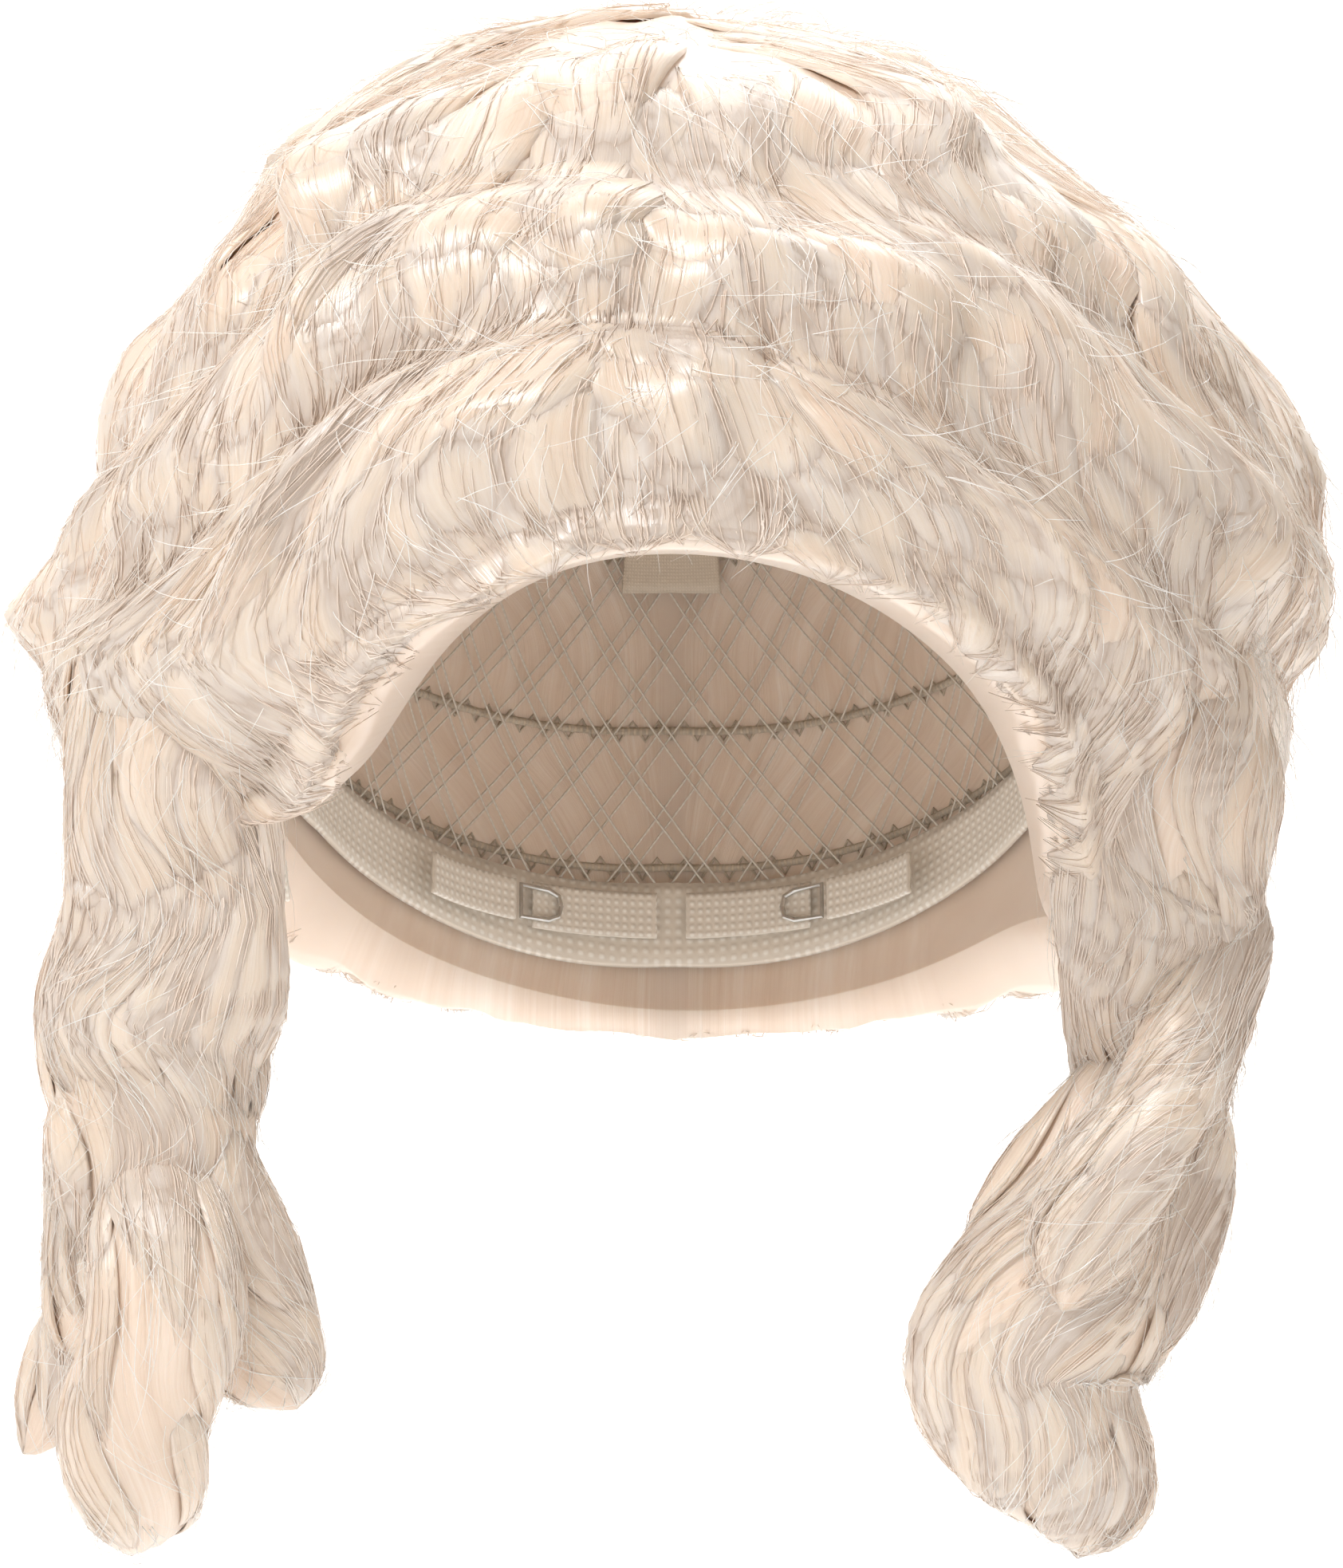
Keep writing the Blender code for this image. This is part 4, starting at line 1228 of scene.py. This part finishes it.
class WIG_OT_cap(bpy.types.Operator):
    """The cap: a net of knitted threads that cross in diamonds, elastic bands, ribbons and wefts."""

    bl_idname = "wig.cap"
    bl_label = "Cap"

    def execute(self, context):
        self.net()
        for name, psi_range, columns in (
            ("forehead_band", (-78, 78), 96),
            ("ear_binding_left", (78.6, 117.4), 40),
            ("ear_binding_right", (-117.4, -78.6), 40),
            ("nape_band", (118, 242), 96),
        ):
            cap_strip(name, psi_range, (0.90, 0.985), 0, 0.0012, "elastic", columns)
        # The care label's satin is darkened as painted shade, for the shade inside the cap.
        cap_strip("care_label", (173, 187), (0.50, 0.575), -0.0014, 0.0003, "satin", 20)
        self.ribbons()
        self.wefts()
        self.copy("tape_tab_front", "film", "tape_film", ROOT, 0.00015)
        for side, sign in (("left", 1), ("right", -1)):
            self.copy(f"ear_tab_{side}", "pad", "cap_elastic", f"ear_tab_{side}", 0.0005)
            self.plain(f"ear_stay_{side}", "steel")
            self.plain(f"adjuster_hook_{side}", "steel")
            self.adjuster(side, sign)
        return {"FINISHED"}

    def adjuster(self, side, sign):
        """The pockets are a tape gathered into a loop every 9 degrees, and the strap a ribbed tape that runs
        between its sewn end on the cap and its hook."""
        loops = nape_strip(
            f"hook_pocket_{side}", (3, 30), 0.0045, NAPE_RADIUS - 0.0018, 0.0005, sign, 82,
            lambda turn, across: 0.0003 * np.abs(np.sin(np.radians(20 * (turn - 3)))) ** 0.5,
        )
        finish(loops, "elastic", nodes=(f"hook_pocket_{side}",))
        strap = nape_strip(
            f"adjuster_strap_{side}", (35, 60), 0.004, NAPE_RADIUS - 0.0030, 0.0006, sign, 60,
            lambda turn, across: 0.0003 * np.cos(across * 3 * math.pi) ** 2,
        )
        finish(strap, "elastic", body=None, nodes=(f"adjuster_strap_{side}",))
        middle = NAPE_RADIUS - 0.0025
        start = tuple(map(float, nape_point(sign * 57.0, 0.0, middle)))
        end = tuple(map(float, nape_point(sign * 36.0, 0.0, middle)))
        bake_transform(strap)

    def copy(self, name, short, slot, body, rounding):
        """A piece with the frame node's own form, its points merged and its edges rounded over."""
        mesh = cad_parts[name].data.copy()
        shape = bmesh.new()
        shape.from_mesh(mesh)
        bmesh.ops.remove_doubles(shape, verts=shape.verts, dist=0.00001)
        bmesh.ops.dissolve_limit(shape, angle_limit=0.02, verts=shape.verts, edges=shape.edges)
        sharp = [edge for edge in shape.edges if edge.is_manifold and edge.calc_face_angle(0) > 0.7]
        bmesh.ops.bevel(
            shape, geom=sharp, offset=rounding, segments=2, profile=0.5, affect="EDGES", clamp_overlap=True
        )
        bmesh.ops.triangulate(shape, faces=shape.faces)
        shape.to_mesh(mesh)
        shape.free()
        obj = bpy.data.objects.new(f"{name}_piece", mesh)
        bpy.context.scene.collection.objects.link(obj)
        finish(obj, short, body, (name,))

    def plain(self, name, short):
        """A frame node that keeps its shape and takes a finish."""
        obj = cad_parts[name]
        obj.data.materials.clear()
        obj.data.materials.append(material_of(short))

    def net(self):
        """Threads of the net: two sets of spirals from the whorl that lean opposite ways, started
        lower down where they would crowd, so that the diamonds stay about 5 mm across."""
        paths = []
        for lean in (-1, 1):
            for count, offset, start in ((26, 0.0, 0.10), (26, 0.5, 0.24), (52, 0.25, 0.46)):
                share = np.linspace(start, 0.90, 36)[None, :]
                psi = (np.arange(count)[:, None] + offset) * 360 / count + lean * 75 * share
                paths.append(head_point(psi, cap_phi(psi, share), 0.0003 + 0.0002 * lean))
        paths = np.concatenate(paths)
        outs = unit(paths - CENTRE)
        radii = np.full(paths.shape[:2], 0.00022)
        obj = tubes("crown_net_threads", paths, radii, outs, sides=4)
        finish(obj, "net", nodes=("crown_net",))

    def ribbons(self):
        """Elastic ribbons over the crown, each a strip beside a leaning arc from brow to nape."""
        half_width, head_radius = 0.0045, 0.085
        for side, lean, swings in (("centre", 0, (-88, 66)), ("left", 30, (-80, 58)), ("right", -30, (-80, 58))):
            swings = np.radians(np.linspace(*swings, 80))
            swing, across = np.meshgrid(swings, np.linspace(-1, 1, 7), indexing="ij")
            lean_at = math.radians(lean) + across * half_width / head_radius
            ahead, up = -np.sin(swing) * np.cos(lean_at), np.cos(swing) * np.cos(lean_at)
            along = np.stack((np.sin(lean_at), ahead, up), -1)
            reach = form_radius(HEAD, along)[..., None]
            inner, outer = CENTRE + along * (reach + 0.0013), CENTRE + along * (reach + 0.0018)
            uv = np.stack((across * half_width, swing * head_radius), -1)
            obj = shell(f"cap_ribbon_{side}_tape", outer, inner, False, uv)
            finish(obj, "elastic", nodes=(f"cap_ribbon_{side}",))

    def wefts(self):
        """Weft tracks: a thread that zigzags round the cap over a sewn edge of fibre roots."""
        for row, share in enumerate((0.30, 0.5325, 0.7297, 0.877), start=1):
            steps = 720
            turn = np.linspace(-180, 180, steps, endpoint=False)
            zigzag = 0.011 * (2 * np.abs((np.arange(steps) % 6) / 3 - 1) - 1)
            ring = head_point(turn, cap_phi(turn, share + zigzag), 0.0029)
            core = head_point(turn, cap_phi(turn, share + 0 * zigzag), 0.0028)
            both = np.stack((np.concatenate((ring, ring[:1])), np.concatenate((core, core[:1]))))
            radii = np.stack((np.full(steps + 1, 0.0003), np.full(steps + 1, 0.0008)))
            obj = tubes(f"weft_track_{row}_stitches", both, radii, unit(both - CENTRE), sides=5)
            finish(obj, "thread", nodes=(f"weft_track_{row}",))


# ---------------------------------------------------------------- the stage


class WIG_OT_stage(bpy.types.Operator):
    """Pale floor that curves up into a backdrop, soft lights and the camera."""

    bl_idname = "wig.stage"
    bl_label = "Stage"

    def execute(self, context):
        settings = context.scene.wig_stage
        self.floor(settings)
        self.camera(settings)
        self.light("key_light", (-0.80, -0.90, 1.15), 0.24, 16.5)
        self.light("fill_light", (0.9, -1.3, 0.25), 1.0, 1.0)
        self.light("front_light", (0.0, -1.3, -0.75), 1.0, 5.3, (0, 0.07, -0.06))
        self.light("backdrop_light", (0.0, 0.9, 1.2), 1.6, 26, (0.0, 2.0, -0.45))
        self.light("rim_light", (0.5, 1.2, 0.9), 0.8, 5)
        world = bpy.data.worlds.new("soft_studio")
        world.use_nodes = True
        world.node_tree.nodes["Background"].inputs["Color"].default_value = linear("fff5ea")
        world.node_tree.nodes["Background"].inputs["Strength"].default_value = 0.545
        context.scene.world = world
        context.scene.view_settings.view_transform = "Standard"
        return {"FINISHED"}

    def floor(self, settings):
        """A sweep: level floor, a quarter circle, then an upright backdrop, extruded sideways."""
        turn = np.linspace(0, math.pi / 2, 16)
        depth = np.concatenate(((-2.5,), 1.2 + 0.6 * np.sin(turn), (1.8,)))
        height = np.concatenate(((-0.45,), -0.45 + 0.6 * (1 - np.cos(turn)), (2.6,)))
        x = np.array((-3.0, 3.0))
        grid = np.stack(np.broadcast_arrays(x[None, :], depth[:, None], height[:, None]), -1)
        obj = add_mesh("studio_sweep", grid, grid_quads(len(depth), 2, False))
        made, tree, shader = new_material("matt_white_paper", 0.9)
        place = node(tree, "ShaderNodeTexCoord").outputs["Object"]
        grain = node(tree, "ShaderNodeTexNoise", {"Scale": 30.0}, {"Vector": place}).outputs["Fac"]
        surface(tree, shader, grain, ((0.3, settings.backdrop), (0.7, settings.backdrop)))
        obj.data.materials.append(made)

    def light(self, name, place, size, power, aim=(0, 0, -0.09)):
        data = bpy.data.lights.new(name, "AREA")
        data.energy = power
        data.size = size
        obj = bpy.data.objects.new(name, data)
        obj.location = place
        obj.rotation_euler = (Vector(aim) - Vector(place)).to_track_quat("-Z", "Y").to_euler()
        bpy.context.scene.collection.objects.link(obj)

    def camera(self, settings):
        data = bpy.data.cameras.new("camera")
        data.sensor_fit = "VERTICAL"
        data.angle = 2 * math.atan(settings.view_height / 2 / settings.distance)
        obj = bpy.data.objects.new("camera", data)
        tilt = math.radians(settings.elevation)
        back = Vector((0, -math.cos(tilt), math.sin(tilt)))
        obj.location = Vector(settings.target) + back * settings.distance
        obj.rotation_euler = (math.pi / 2 - tilt, 0, 0)
        bpy.context.scene.collection.objects.link(obj)
        bpy.context.scene.camera = obj


class WIG_PT_panel(bpy.types.Panel):
    """Lists the wig's operators and settings."""

    bl_label = "Wig"
    bl_idname = "WIG_PT_panel"
    bl_space_type = "VIEW_3D"
    bl_region_type = "UI"
    bl_category = "Wig"

    def draw(self, context):
        for operator in OPERATORS:
            self.layout.operator(operator.bl_idname)
        for group in (context.scene.wig_hair, context.scene.wig_stage):
            for name in group.__annotations__:
                self.layout.prop(group, name)


OPERATORS = (WIG_OT_under_hair, WIG_OT_waves, WIG_OT_side_locks, WIG_OT_flyaways, WIG_OT_cap, WIG_OT_stage)
CLASSES = (WigHairSettings, WigStageSettings, *OPERATORS, WIG_PT_panel)


def register():
    for cls in CLASSES:
        bpy.utils.register_class(cls)
    bpy.types.Scene.wig_hair = PointerProperty(type=WigHairSettings)
    bpy.types.Scene.wig_stage = PointerProperty(type=WigStageSettings)


def unregister():
    del bpy.types.Scene.wig_hair
    del bpy.types.Scene.wig_stage
    for cls in reversed(CLASSES):
        bpy.utils.unregister_class(cls)


def main():
    register()
    bpy.ops.wig.stage()
    bpy.ops.wig.under_hair()
    bpy.ops.wig.waves()
    bpy.ops.wig.side_locks()
    bpy.ops.wig.flyaways()
    bpy.ops.wig.cap()


if __name__ == "__main__":
    main()
